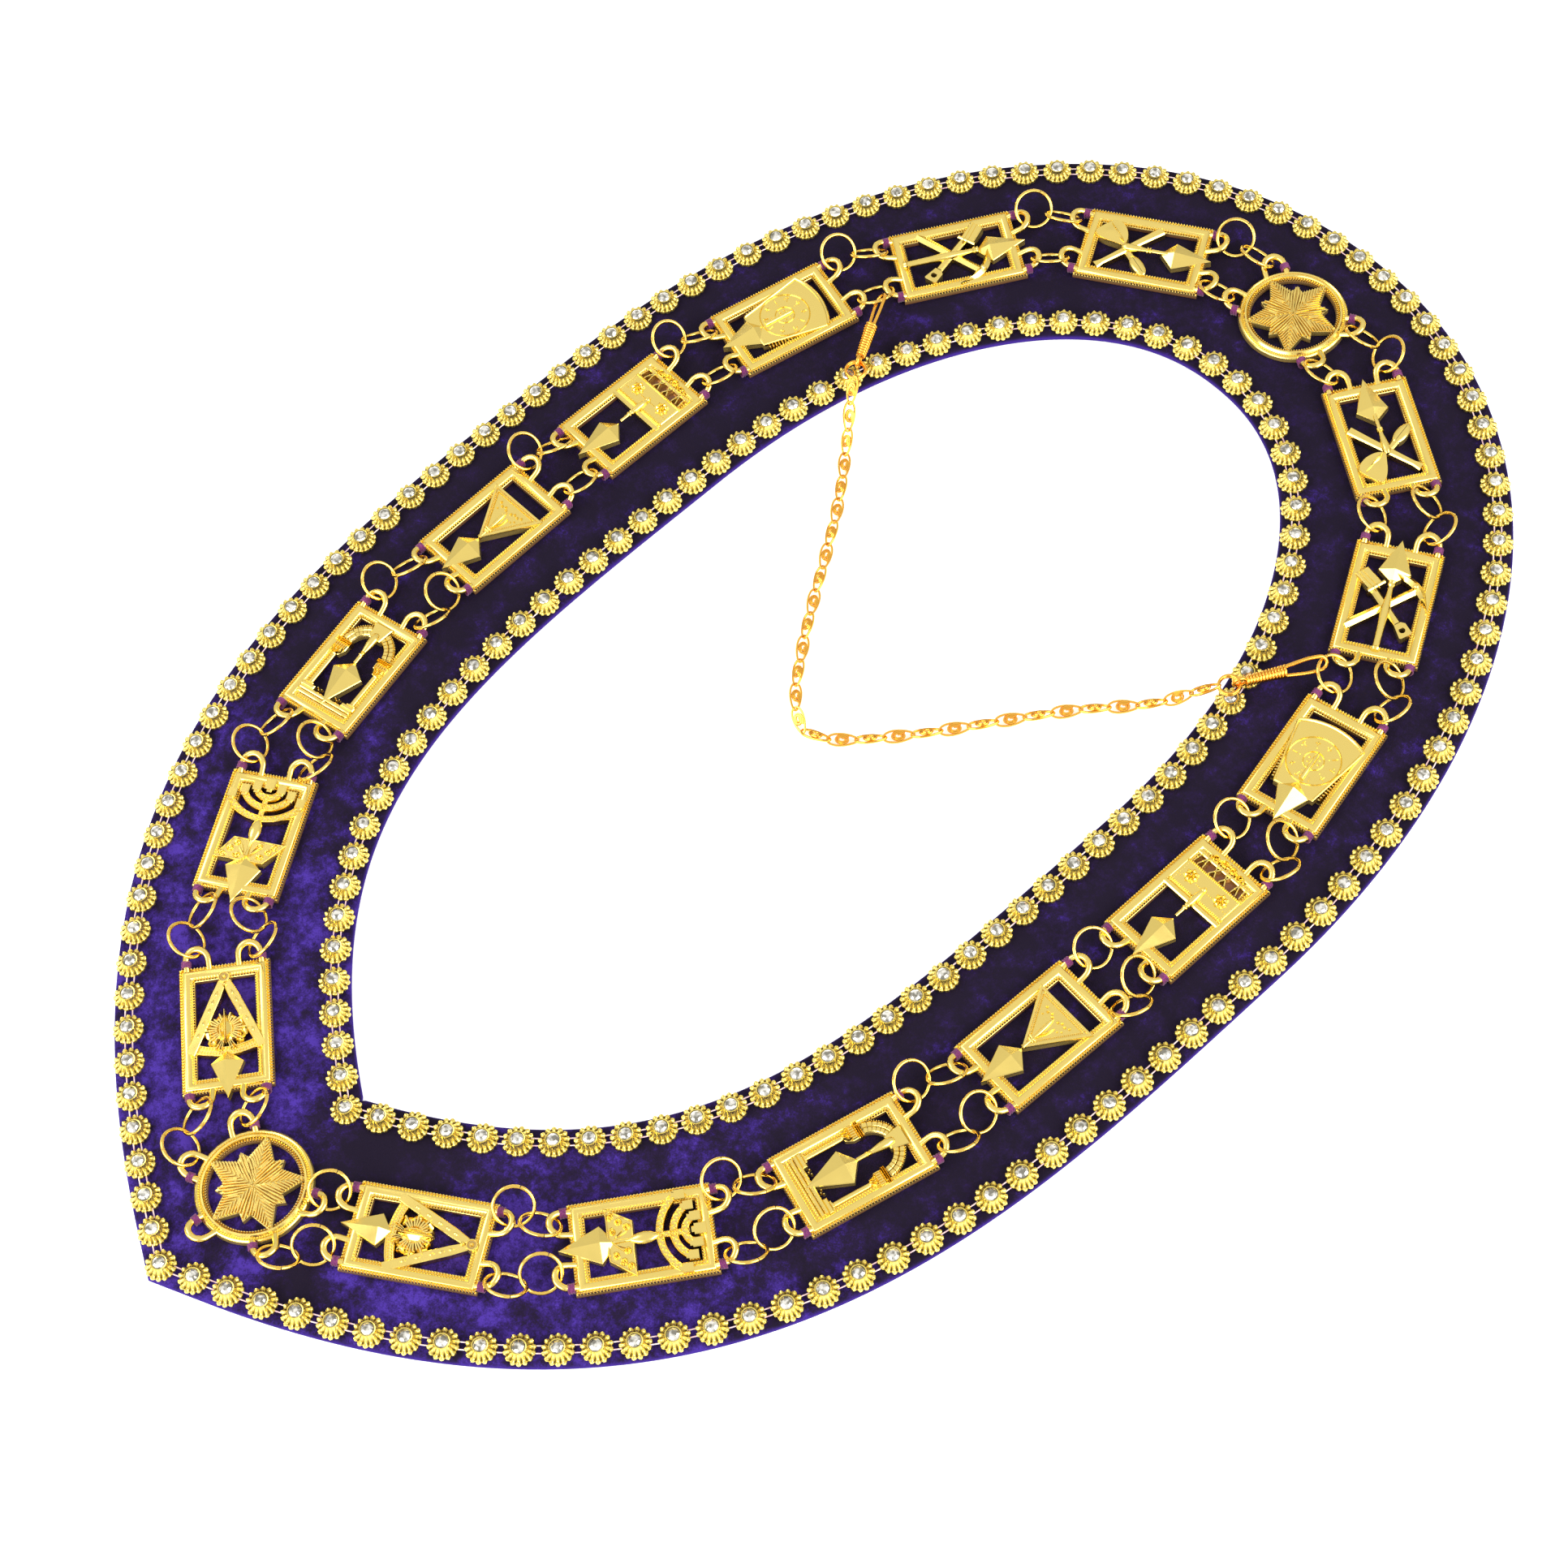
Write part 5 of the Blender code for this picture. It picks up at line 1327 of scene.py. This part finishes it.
def arch():
    """Steps, columns, capitals, stones and keystone. Both columns come from one set of places."""
    spring = np.array([0, 7.0])
    shells = []
    for number in range(3):
        y = -17.6 + 1.45 * number
        shells.append(along([(-10.6, y), (10.6, y)], flat_bar(1.35, 2.2 + 0.45 * number, edge=0.3)))
    for side in (1, -1):
        x = 8.9 * side
        shells += [
            slab(rectangle(2.6, 0.75, (x - 0.4 * side, -13.3)), 3.0),
            slab(rectangle(1.6, 0.3, (x, -12.2)), 2.7, edge=0.15),
            turned((x, -12.3, 1.6), (x, 1.8, 1.6), (0, 1.25), (0.04, 1.25), (0.06, 1.0), (0.94, 0.95),
                   (0.96, 1.2), (1, 1.2)),
            slab([(x - 1.5, 1.5), (x + 1.5, 1.5), (x + 2.7, 3.7), (x - 2.7, 3.7)], 2.3),
        ]
        for reach in (-1, 0, 1):
            start, end = (x + 0.7 * reach, 1.3), (x + 1.9 * reach, 3.9)
            shells.append(leaf(start, end, 1.3, 3.3, 2.0, 0.6, blunt=0.3))
        block = x - 0.2 * side
        flutes = block + np.linspace(-2.1, 2.1, 6)
        shells += [
            slab(rectangle(2.6, 1.1, (block, 4.8)), 2.4),
            ribs([(flute, 3.9) for flute in flutes], [(flute, 5.7) for flute in flutes], 0.55, 3.0, 2.2),
        ]
        for number in range(3):
            y = 6.2 + 0.62 * number
            shells.append(along([(block - 3.0, y), (block + 3.0, y)], ridge(0.55, 3.1, 0, 0.8)))
    for radius, high in ((7.4, 3.0), (9.2, 2.9)):
        for first, last in ((8, 70), (110, 172)):
            edges = np.linspace(first, last, STONES_A_SIDE + 1)
            for start, end in zip(edges[:-1] + JOINT_DEGREES / 2, edges[1:] - JOINT_DEGREES / 2):
                shells.append(along(arc(spring, radius, start, end, 4), flat_bar(1.62, high, edge=0.25)))
        # Painted shade: a low band under each row of stones, half dark, shows in the joints.
        shells.append(along(arc(spring, radius, 6, 174, 25), flat_bar(1.7, 2.4), tone=0.5))
    for first, last in ((12, 70), (110, 168)):
        shells.append(beads(arc(spring, 10.3, first, last, 12), 0.8, 0.7, 3.0, 2.0))
    lumps = [(-3.9, -13.3), (-3.0, -12.7), (3.9, -13.3), (3.0, -12.7), (-4.6, -12.6), (4.6, -12.6)]
    return shells + [
        slab([(-2.3, 12.4), (2.3, 12.4), (3.6, 18.4), (-3.6, 18.4)], 3.3),
        turned((0, 1.5, 2.7), (0, 15.0, 2.7), (0, 0.7), (0.24, 0.8), (0.27, 1.2), (0.30, 0.8),
               (0.32, 0.8), (0.34, 1.25), (0.38, 0.9), (0.6, 1.5), (0.8, 1.7), (0.95, 1.3), (1, 0.5)),
        dots(lumps, 1.0, 3.3, 2.0),
        blade(1.9, -2.6, -16.6, 12.2),
    ]


# %% [markdown]
# The triangle hangs point down on the blade's neck. Its border is smooth, a row of beads runs inside the
# border, and the sunk ground carries a few drops and one long leaf.

# %% Emblem: triangle


def triangle():
    """Ground with a rim, beads, drops, leaf and a small cross-piece."""
    outline = np.array([(-12.2, 12.1), (0, -7.4), (12.2, 12.1)])
    drops = [(-5.0, 8.2), (-3.6, 7.2), (-2.2, 7.7), (2.4, 7.7), (3.9, 7.4), (5.3, 8.1), (-1.3, 6.9),
             (1.2, 7.0)]
    return [
        tray(outline, 3.2, 0.95, 0.45),
        beads(inset(outline, 1.75), 0.62, 0.7, 3.4, 2.6, 0, True, 0.42),
        dots(drops, 1.15, 3.7, 2.6),
        dots([(-4.3, 5.6), (4.4, 5.6), (3.4, 4.6)], 0.8, 3.4, 2.6),
        turned((0.1, -2.6, 2.9), (-0.5, 6.8, 2.9), (0, 0.3), (0.3, 0.75), (0.6, 0.85), (0.85, 0.6),
               (1, 0.15)),
        leaf((0.5, -2.0), (2.3, 4.6), 1.1, 3.6, 2.4, 0.6),
        turned((-1.5, -2.3, 3.0), (1.5, -2.3, 3.0), (0, 0.35), (0.2, 0.5), (0.5, 0.4), (0.8, 0.5),
               (1, 0.35)),
        turned((-1.1, -3.2, 3.0), (1.1, -3.2, 3.0), (0, 0.3), (0.5, 0.45), (1, 0.3)),
        turned((0, -6.8, 2.8), (0, -2.6, 2.8), (0, 1.0), (0.3, 0.6), (0.8, 0.5), (1, 0.7)),
        blade(-7.0, -11.6, -24.1, 11.6),
    ]


# %% [markdown]
# The chest: a smooth panel with two rosettes between lines of beads, a gallery over it whose openings are
# a low ground with painted shade between posts, and the trowel's round handle below.

# %% Emblem: chest


def chest():
    """Rail, panel, rosettes, bead lines, gallery posts, scrolls and handle."""
    shells = [
        along([(-11.6, 1.8), (11.6, 1.8)], flat_bar(1.9, 2.9, edge=0.45)),
        slab(rectangle(11.2, 5.1, (0, 7.9)), 2.6),
    ]
    for y in (3.6, 12.4):
        shells.append(beads([(-11.2, y), (11.2, y)], 0.75, 1.15, 3.3, 2.3, 42, length=0.95))
    for first, last, y in ((-3.6, 3.6, 7.4), (-10.8, -8.8, 6.4), (8.8, 10.8, 6.4)):
        shells.append(beads([(first, y), (last, y)], 0.8, 0.55, 3.0, 2.4, length=0.6))
    rays = heading(np.arange(7) * 360 / 7)
    between_rays = 1.9 * rays @ np.array([(0.9, 0.43), (-0.43, 0.9)])
    for centre in np.array([(-6.4, 8.4), (6.4, 8.4)]):
        for ray in rays:
            shells.append(leaf(centre + 0.5 * ray, centre + 2.5 * ray, 1.7, 3.5, 2.4, 0.62, 6, 0.3))
        shells += [dots(centre + between_rays, 0.8, 3.3, 2.4), dots([centre], 1.5, 4.0, 2.5)]
    posts = [(-9.8, -9.3), (-8.2, -6.6), (-6.0, -6.6), (-3.4, -0.9), (-0.9, -3.0), (1.0, 3.1), (3.5, 1.0),
             (6.2, 6.8), (8.3, 6.8), (9.8, 9.3)]
    lower = np.array([(first, 12.9) for first, _ in posts])
    upper = np.array([(last, 16.9) for _, last in posts])
    return shells + [
        along([(-11.0, 17.1), (11.0, 17.1)], flat_bar(1.3, 2.7, edge=0.3)),
        # Painted shade: the gallery's low ground is dark all over, for its openings.
        ground(rectangle(10.6, 2.6, (0, 14.8)), (0, 0, 1), (0, 1.0, 1), (0.3, 1.1, 1)),
        ribs(lower, upper, 0.95, 3.0, 0.4),
        dots((lower + upper) / 2, 1.1, 3.3, 2.2),
        *scrolls([(-5.0, 18.6), (-1.7, 18.9), (1.7, 18.9), (5.0, 18.6)], 1.25, 3.7, 2.6),
        along(arc((0, 10.0), 9.4, 58, 122, 13), ridge(1.0, 3.9, 2.4, 0.4)),
        dots([(-6.7, 18.0), (6.7, 18.0), (0, 19.6)], 1.5, 4.0, 2.6),
        turned((0, -5.2, 2.9), (0, 8.6, 2.9), (0, 0.6), (0.12, 0.6), (0.24, 0.65), (0.27, 1.1),
               (0.30, 1.1), (0.33, 0.75), (0.36, 1.05), (0.39, 1.05), (0.42, 0.8), (0.55, 1.25),
               (0.68, 1.3), (0.84, 0.85), (0.87, 0.7), (0.9, 0.95), (0.95, 0.85), (1, 0.3)),
        blade(-6.1, -10.6, -24.8, 10.8),
    ]


# %% [markdown]
# The keystone: a raised wedge of stone with a ring of small marks. The marks here are plain bars, drops
# and crosses in an order that says nothing. Coils of rope show beside its lower sides.

# %% Emblem: keystone
MARKS = 10


def keystone():
    """Rope, wedge with a curved crown, two raised circles, marks and the pin."""
    crown = arc((0, -10.0), 25.1, 61.5, 118.5, 11)
    outline = np.vstack([[(-7.3, -12.1), (7.3, -12.1)], crown])
    shells = [
        ground(outline, (0, 0, 0.6), (0, 2.8, 0.2), (0.35, 3.1, 0), (0.8, 3.15, 0)),
        along(crown + (0, -0.35), flat_bar(1.1, 3.75, 2.6, 0.35)),
    ]
    for side in (1, -1):
        shells += [
            along([(12.0 * side, 11.2), (7.1 * side, -11.7)], flat_bar(0.8, 3.5, 2.2, 0.25)),
            beads([(9.9 * side, -1.6), (8.4 * side, -10.8)], 1.12, 2.1, 2.5, 0.0, 12, length=1.25),
        ]
    middle = np.array([0, 0.7])
    for radius, width in ((8.9, 0.55), (3.4, 0.45)):
        line = arc(middle, radius, 0, 360, 49)[:-1]
        shells.append(along(line, ridge(width, 3.65, 2.9, 0.4), ring=True))
    ray = heading(108 + np.arange(MARKS) * 360 / MARKS)
    beside = left_of(ray)
    spots = middle + 6.9 * ray
    crossed = np.arange(MARKS) % 3 == 0
    flagged = np.arange(MARKS) % 3 == 1
    flag = (spots + 0.7 * ray)[flagged]
    return shells + [
        ribs(spots - 0.95 * ray, spots + 0.95 * ray, 0.55, 3.6, 3.0),
        ribs((spots - 0.8 * beside)[crossed], (spots + 0.8 * beside)[crossed], 0.5, 3.6, 3.0),
        dots((spots + 1.0 * beside)[flagged], 0.6, 3.5, 3.0),
        ribs(flag - 0.5 * beside[flagged], flag + 0.6 * beside[flagged], 0.45, 3.6, 3.0),
        dots(middle + 5.0 * ray[::2], 0.5, 3.4, 3.0),
        dots([(-1.9, 1.4), (-1.7, -0.3), (1.9, 0.2), (1.7, 1.9)], 0.9, 3.5, 3.0),
        turned((0, -7.2, 3.4), (0, 3.9, 3.4), (0, 0.9), (0.25, 0.75), (0.9, 0.75), (1, 0.3)),
        blade(-7.4, -11.9, -24.6, 11.7, 5.3),
    ]


# %% [markdown]
# The last two plates turn the trowel round and cross it with the tools of quarry and garden: a mallet and
# a pick on one, a shovel and a crowbar on the other. Where the bars cross, the front one lies higher.

# %% Emblems: mallet and pick, shovel and bar


def mallet_and_pick():
    """Pick behind, mallet over it, and the long handle of the trowel in front."""
    head = smooth_line(np.array([(1.2, 10.9), (5.0, 9.9), (8.2, 7.8), (10.9, 4.2), (13.4, -1.6)]), 17)
    swell = np.sin(np.linspace(0.5, math.pi - 0.12, 17))
    forward = unit((14.1, -15.1))
    eye_axes = np.array([forward, left_of(forward)])
    eye = np.array([7.0, -10.0])
    outer = eye + np.array([(-3.0, -1.3), (2.2, -2.4), (2.6, -1.9), (2.6, 1.9), (2.2, 2.4), (-1.9, 2.4),
                            (-3.0, 1.3)]) @ eye_axes
    inner = eye + circle(1.15, 8)[[5, 6, 7, 0, 1, 2, 3]] @ eye_axes
    wall = [at_height(outer, 0), at_height(outer, 3.1), at_height(inner, 3.2), at_height(inner, 0)]
    return [
        along([(8.6, 6.9), (-11.9, -11.9)], ridge((2.7, 3.0), 3.2, 0, 0.72), flat=True),
        along(head, ridge(2.9 * swell, 3.9, 0, 0.7)),
        turned((7.6, 8.3, 2.6), (8.9, 7.0, 2.6), (0, 0.9), (0.3, 1.5), (0.7, 1.5), (1, 0.9)),
        along([(-6.4, 4.6), (4.9, -7.6)], flat_bar(2.6, 3.3, edge=0.6)),
        # The eye's wall carries a little painted shade.
        loft(np.stack(wall, 1), ring=True, tone=0.1),
        slab([(-12.5, 8.0), (-8.8, 11.5), (-2.7, 6.3), (-6.3, 2.7)], 3.7, edge=0.35),
        along([(-2.4, 7.1), (-7.1, 2.2)], flat_bar(1.3, 4.0, edge=0.4)),
        ribs([(-11.6, 8.7), (-10.6, 9.7)], [(-4.2, 2.9), (-3.3, 4.0)], 0.5, 4.0, 3.5),
        turned((0, -19.6, 2.9), (0, 8.0, 2.9), (0, 1.4), (0.03, 1.75), (0.055, 1.2), (0.07, 1.25),
               (0.35, 1.35), (0.55, 1.6), (0.62, 1.5), (0.8, 1.05), (0.91, 0.95), (0.93, 1.45),
               (0.95, 1.45), (0.96, 1.1), (0.975, 1.4), (0.99, 1.4), (1, 0.9)),
        blade(7.2, 12.0, 24.8, 11.2),
    ]


def shovel_and_bar():
    """Bar behind, shovel over it, and the trowel's handle in front."""
    spoon = oval((0, 0), 4.7, 2.2, 16) @ np.array([(0.75, 0.66), (-0.66, 0.75)]) + (6.9, -0.7)
    heart = np.array([(-0.2, -7.3), (-0.9, -10.8), (-1.6, -14.3), (-3.0, -17.6), (-4.8, -18.9),
                      (-7.4, -17.0), (-10.0, -14.2), (-11.2, -12.2), (-10.4, -10.0), (-8.2, -7.9),
                      (-5.4, -6.7), (-2.6, -6.4)])
    scoop = smooth_line(np.vstack([heart, heart[:1]]), 25)[:-1]
    return [
        along([(-9.9, 4.6), (-4.0, -1.6), (7.6, -13.4), (9.7, -15.5)],
              flat_bar((3.3, 2.9, 2.3, 3.3), 3.1, edge=0.5)),
        ground(spoon, (0, 0, 0.6), (0, 2.7, 0.1), (0.35, 3.1, 0), (1.4, 3.3, 0)),
        along([(0.8, -6.2), (5.0, -2.3)], flat_bar((2.2, 2.9), 2.9, edge=0.6)),
        tiers(scoop, np.array([-5.4, -12.2]), ((1.0, 0.0, 0.6), (1.0, 2.9, 0.1), (0.95, 3.3, 0),
                                               (0.7, 3.35, 0), (0.4, 3.6, 0), (0.1, 3.9, 0))),
        leaf((-1.6, -7.6), (-9.0, -13.6), 1.2, 4.1, 3.3, 0.35),
        turned((0.1, -7.9, 3.0), (0, 9.2, 3.0), (0, 0.7), (0.05, 1.25), (0.12, 1.5), (0.3, 1.3),
               (0.48, 0.85), (0.52, 0.8), (0.535, 1.3), (0.56, 1.3), (0.575, 0.95), (0.59, 1.25),
               (0.615, 1.25), (0.63, 0.8), (1, 0.7)),
        blade(5.9, 11.0, 24.2, 11.3),
    ]


EMBLEMS = {"compasses": compasses, "candelabrum": candlestick, "arch": arch, "triangle": triangle,
           "chest": chest, "keystone": keystone, "mallet": mallet_and_pick, "shovel": shovel_and_bar}
print("emblems", {name: triangle_count(together(make())) for name, make in EMBLEMS.items()}, "triangles")

# %% [markdown]
# A casting is set on the collar by three axes: right, ahead and up. On the left side the centre and the
# direction ahead are mirrored and the axes worked out anew, so that the casting itself isn't mirrored,
# just as the caster used one mould for both.

# %% Sixteen plates in place


def placed(shells, centre, ahead):
    """Millimetres to metres along right, ahead and up, from the back of the plate's place."""
    axes = MM * flat_axes([-left_of(ahead)], ahead)
    return copies(together(shells), [(*centre, PLATE_FLOOR)], axes)


for name, share, outward in PLATES:
    centre, ahead = place_on_run(share, outward)
    casting = plate_frame() + EMBLEMS[name]()
    for side_name, flip in SIDES:
        label = f"{side_name}_{name}"
        here = [placed(casting, centre * flip[:2], ahead * flip[:2])]
        piece("casting_" + label, here, cast_gold, ["plate_" + label])
print("castings", sum(count for name, count in made.items() if name.startswith("casting")), "triangles")

# %% [markdown]
# A round plate sits at the point and another at the back of the neck: two round mouldings with a fine row
# of beads beside each, and a star of ten rays, long ribbed ones between short broad ones. The one at the
# point has a fifth loop below, where a jewel hangs when the collar is worn.

# %% Round plates

# The two mouldings from the rim's foot to the inner one: distance inward, height and painted shade
DISC_PROFILE = np.array([
    (0.10, 0.00, 0.8), (0.10, 1.40, 0.3), (0.45, 2.00, 0.1), (0.95, 2.30, 0.0), (1.40, 2.05, 0.1),
    (1.60, 1.90, 0.3), (1.80, 2.15, 0.1), (2.35, 2.85, 0.0), (2.95, 2.85, 0.0), (3.40, 2.20, 0.0),
    (3.52, 1.60, 0.7), (4.30, 1.50, 0.9), (4.40, 1.30, 0.8), (4.40, 0.00, 0.9),
])
DISC_SIDES = 72
RAY_LENGTH = 16.8
RAY_SHOULDER = 7.1
RAY_HALF_WIDTH = 5.1
BARB_ANGLE = math.radians(32)
BARB_PITCH = 0.85


def star(lead):
    """Five long rays whose ribs leave the ridge at BARB_ANGLE, and five short rays ribbed lengthwise.

    A rib from x = p on the ridge meets the ray's edge, y = slope * (RAY_LENGTH - x), after the length
    slope * (RAY_LENGTH - p) / (sin a + slope * cos a).
    """
    slope = RAY_HALF_WIDTH / (RAY_LENGTH - RAY_SHOULDER)
    sine, cosine = math.sin(BARB_ANGLE), math.cos(BARB_ANGLE)
    shells = []
    place = np.array([0.0, 0.5 * RAY_SHOULDER, RAY_SHOULDER, RAY_LENGTH])
    width = 2 * np.array([0.2, 0.5 * RAY_HALF_WIDTH, RAY_HALF_WIDTH, 0.15])
    root = np.arange(0.3, RAY_LENGTH - 1.2, BARB_PITCH / sine)
    length = slope * (RAY_LENGTH - root) / (sine + slope * cosine) - 0.1
    for number in range(5):
        ray = heading(lead + 72 * number)
        beside = left_of(ray)
        # Painted shade: the long rays' ridges are a little dark between their ribs.
        shells.append(along(np.outer(place, ray), ridge(width, 2.6, 0, 0.85), tone=0.35))
        for side in (1, -1):
            starts = np.outer(root, ray)
            ends = starts + np.outer(length, cosine * ray + side * sine * beside)
            shells.append(ribs(starts, ends, BARB_PITCH, 3.0, 2.3))
        ray = heading(lead + 36 + 72 * number)
        beside = left_of(ray)
        short = np.outer((0.5, 7.6, 12.3, 7.6), ray) + np.outer((0, -3.4, 0, 3.4), beside)
        # Painted shade: the short rays' grounds are dark between their ribs.
        shells.append(ground(short, (0, 0, 0.8), (0, 2.1, 0.3), (0.2, 2.2, 0.3)))
        spread = np.linspace(-2.7, 2.7, 6)
        reach = 12.0 - 1.35 * np.abs(spread)
        starts = np.outer(spread, beside) + 5.0 * ray
        ends = np.outer(spread, beside) + np.outer(reach, ray)
        shells.append(ribs(starts, ends, 1.0, 2.95, 2.1))
    return shells


def round_plate(lead, loops):
    """Mouldings, two rows of beads, the star and the loops."""
    radius = DISC_RADIUS / MM
    by, height, tone = DISC_PROFILE.T
    angle = 2 * math.pi * np.arange(DISC_SIDES)[:, None] / DISC_SIDES
    return [
        loft(around(angle, radius - by, height), ring=True, tone=tone),
        *star(lead),
        beads(circle(radius - 1.55, DISC_SIDES), 0.85, 0.6, 2.35, 1.8, 0, True, 0.7),
        beads(circle(radius - 3.9, DISC_SIDES), 0.9, 0.85, 2.25, 1.4, 12, True, 0.85),
        *(cast_loop(radius * outward, outward, -left_of(outward)) for outward in heading(loops)),
    ]


SIDE_LOOPS = (-28, 28, 152, 208)
ROUND_PLATES = (("point", -90, 0.0, SIDE_LOOPS + (-90,)), ("neck", 90, NECK_HEIGHT, SIDE_LOOPS))
for name, lead, height, loops in ROUND_PLATES:
    here = [placed(round_plate(lead, loops), (0, height + DISC_Y), np.array([0, 1.0]))]
    piece(name + "_star", here, cast_gold, [name + "_disc"])
print("round plates", made["point_star"], "triangles")

# %% [markdown]
# The plates are sewn to the velvet. A purple thread goes a few times round the outer leg of each loop and
# down through the cloth. A turn of thread is an oval, and a tie is a few ovals side by side.

# %% Sewing thread
TIE_THREAD = 0.50 * MM
TIE_TURNS = 5
TIE_PITCH = 0.9 * TIE_THREAD
TIE_HALF_WIDTH = 1.42 * MM
TIE_SINK = 0.4 * MM
TIE_WOBBLE = 0.025 * MM
TIE_PLACE = 0.9 * MM

sewing_thread, tree, shader = material("purple_cotton_thread")
place = add(tree, "ShaderNodeTexCoord", output="Object")
twist = add(tree, "ShaderNodeTexNoise", Vector=place, Scale=1 / TIE_THREAD, Detail=2.0)
dye = add(tree, "ShaderNodeValToRGB", stops=((0.3, "#480A3E"), (0.7, "#861C70")), _0=twist)
relief = add(tree, "ShaderNodeBump", Strength=0.4, Distance=0.1 * MM, Height=twist)
feed(tree, shader, Base_Color=dye, Normal=relief, Roughness=0.7, Sheen_Weight=0.3)


def tie():
    """Ovals (half width * cos a, height * sin a) side by side, from over the leg down into the velvet."""
    top = LOOP_WIRE * MM / 2 + TIE_THREAD / 2
    bottom = LOOP_HEIGHT + SEAT_GAP + TIE_SINK
    across, up = circle(1.0, 14).T
    oval_line = np.stack([0 * across, TIE_HALF_WIDTH * across, np.where(up > 0, top, bottom) * up], 1)
    turns = []
    for number in range(TIE_TURNS):
        shift = (number - (TIE_TURNS - 1) / 2) * TIE_PITCH
        line = oval_line * (1, 1 - 0.06 * (number % 2), 1) + (shift, TIE_WOBBLE * (-1) ** number, 0)
        turns.append(carried(line, circle(TIE_THREAD / 2, 5), (1, 0, 0), ring=True))
    return together(turns)


def tie_places():
    """The outer leg of every cast loop, and the leg's direction away from the plate."""
    spots, heads = [], []
    for _, share, outward in PLATES:
        centre, ahead = place_on_run(share, outward)
        for end in (1, -1):
            for side in (1, -1):
                leg = -left_of(ahead) * side * (LOOP_SPACING / 2 + LOOP_RADIUS)
                spot = centre + leg + ahead * end * (PLATE_LENGTH / 2 + TIE_PLACE)
                spots += [spot, spot * MIRROR[:2]]
                heads += [ahead * end, ahead * end * MIRROR[:2]]
    for _, _, height, loops in ROUND_PLATES:
        for number, outward in enumerate(heading(loops)):
            leg = left_of(outward) * (1 if number % 2 else -1) * LOOP_RADIUS
            spots.append((0, height + DISC_Y) + outward * (DISC_RADIUS + TIE_PLACE) + leg)
            heads.append(outward)
    return np.array(spots), np.array(heads)


spots, heads = tie_places()
leg_height = PLATE_FLOOR + LOOP_HEIGHT + TIE_PLACE * math.tan(LOOP_RISE)
ties = copies(tie(), at_height(spots, leg_height), flat_axes(heads, left_of(heads)))
piece("thread_ties", [ties], sewing_thread, crisp=60)
print(len(spots), "ties,", made["thread_ties"], "triangles")


print("triangles added", sum(made.values()))
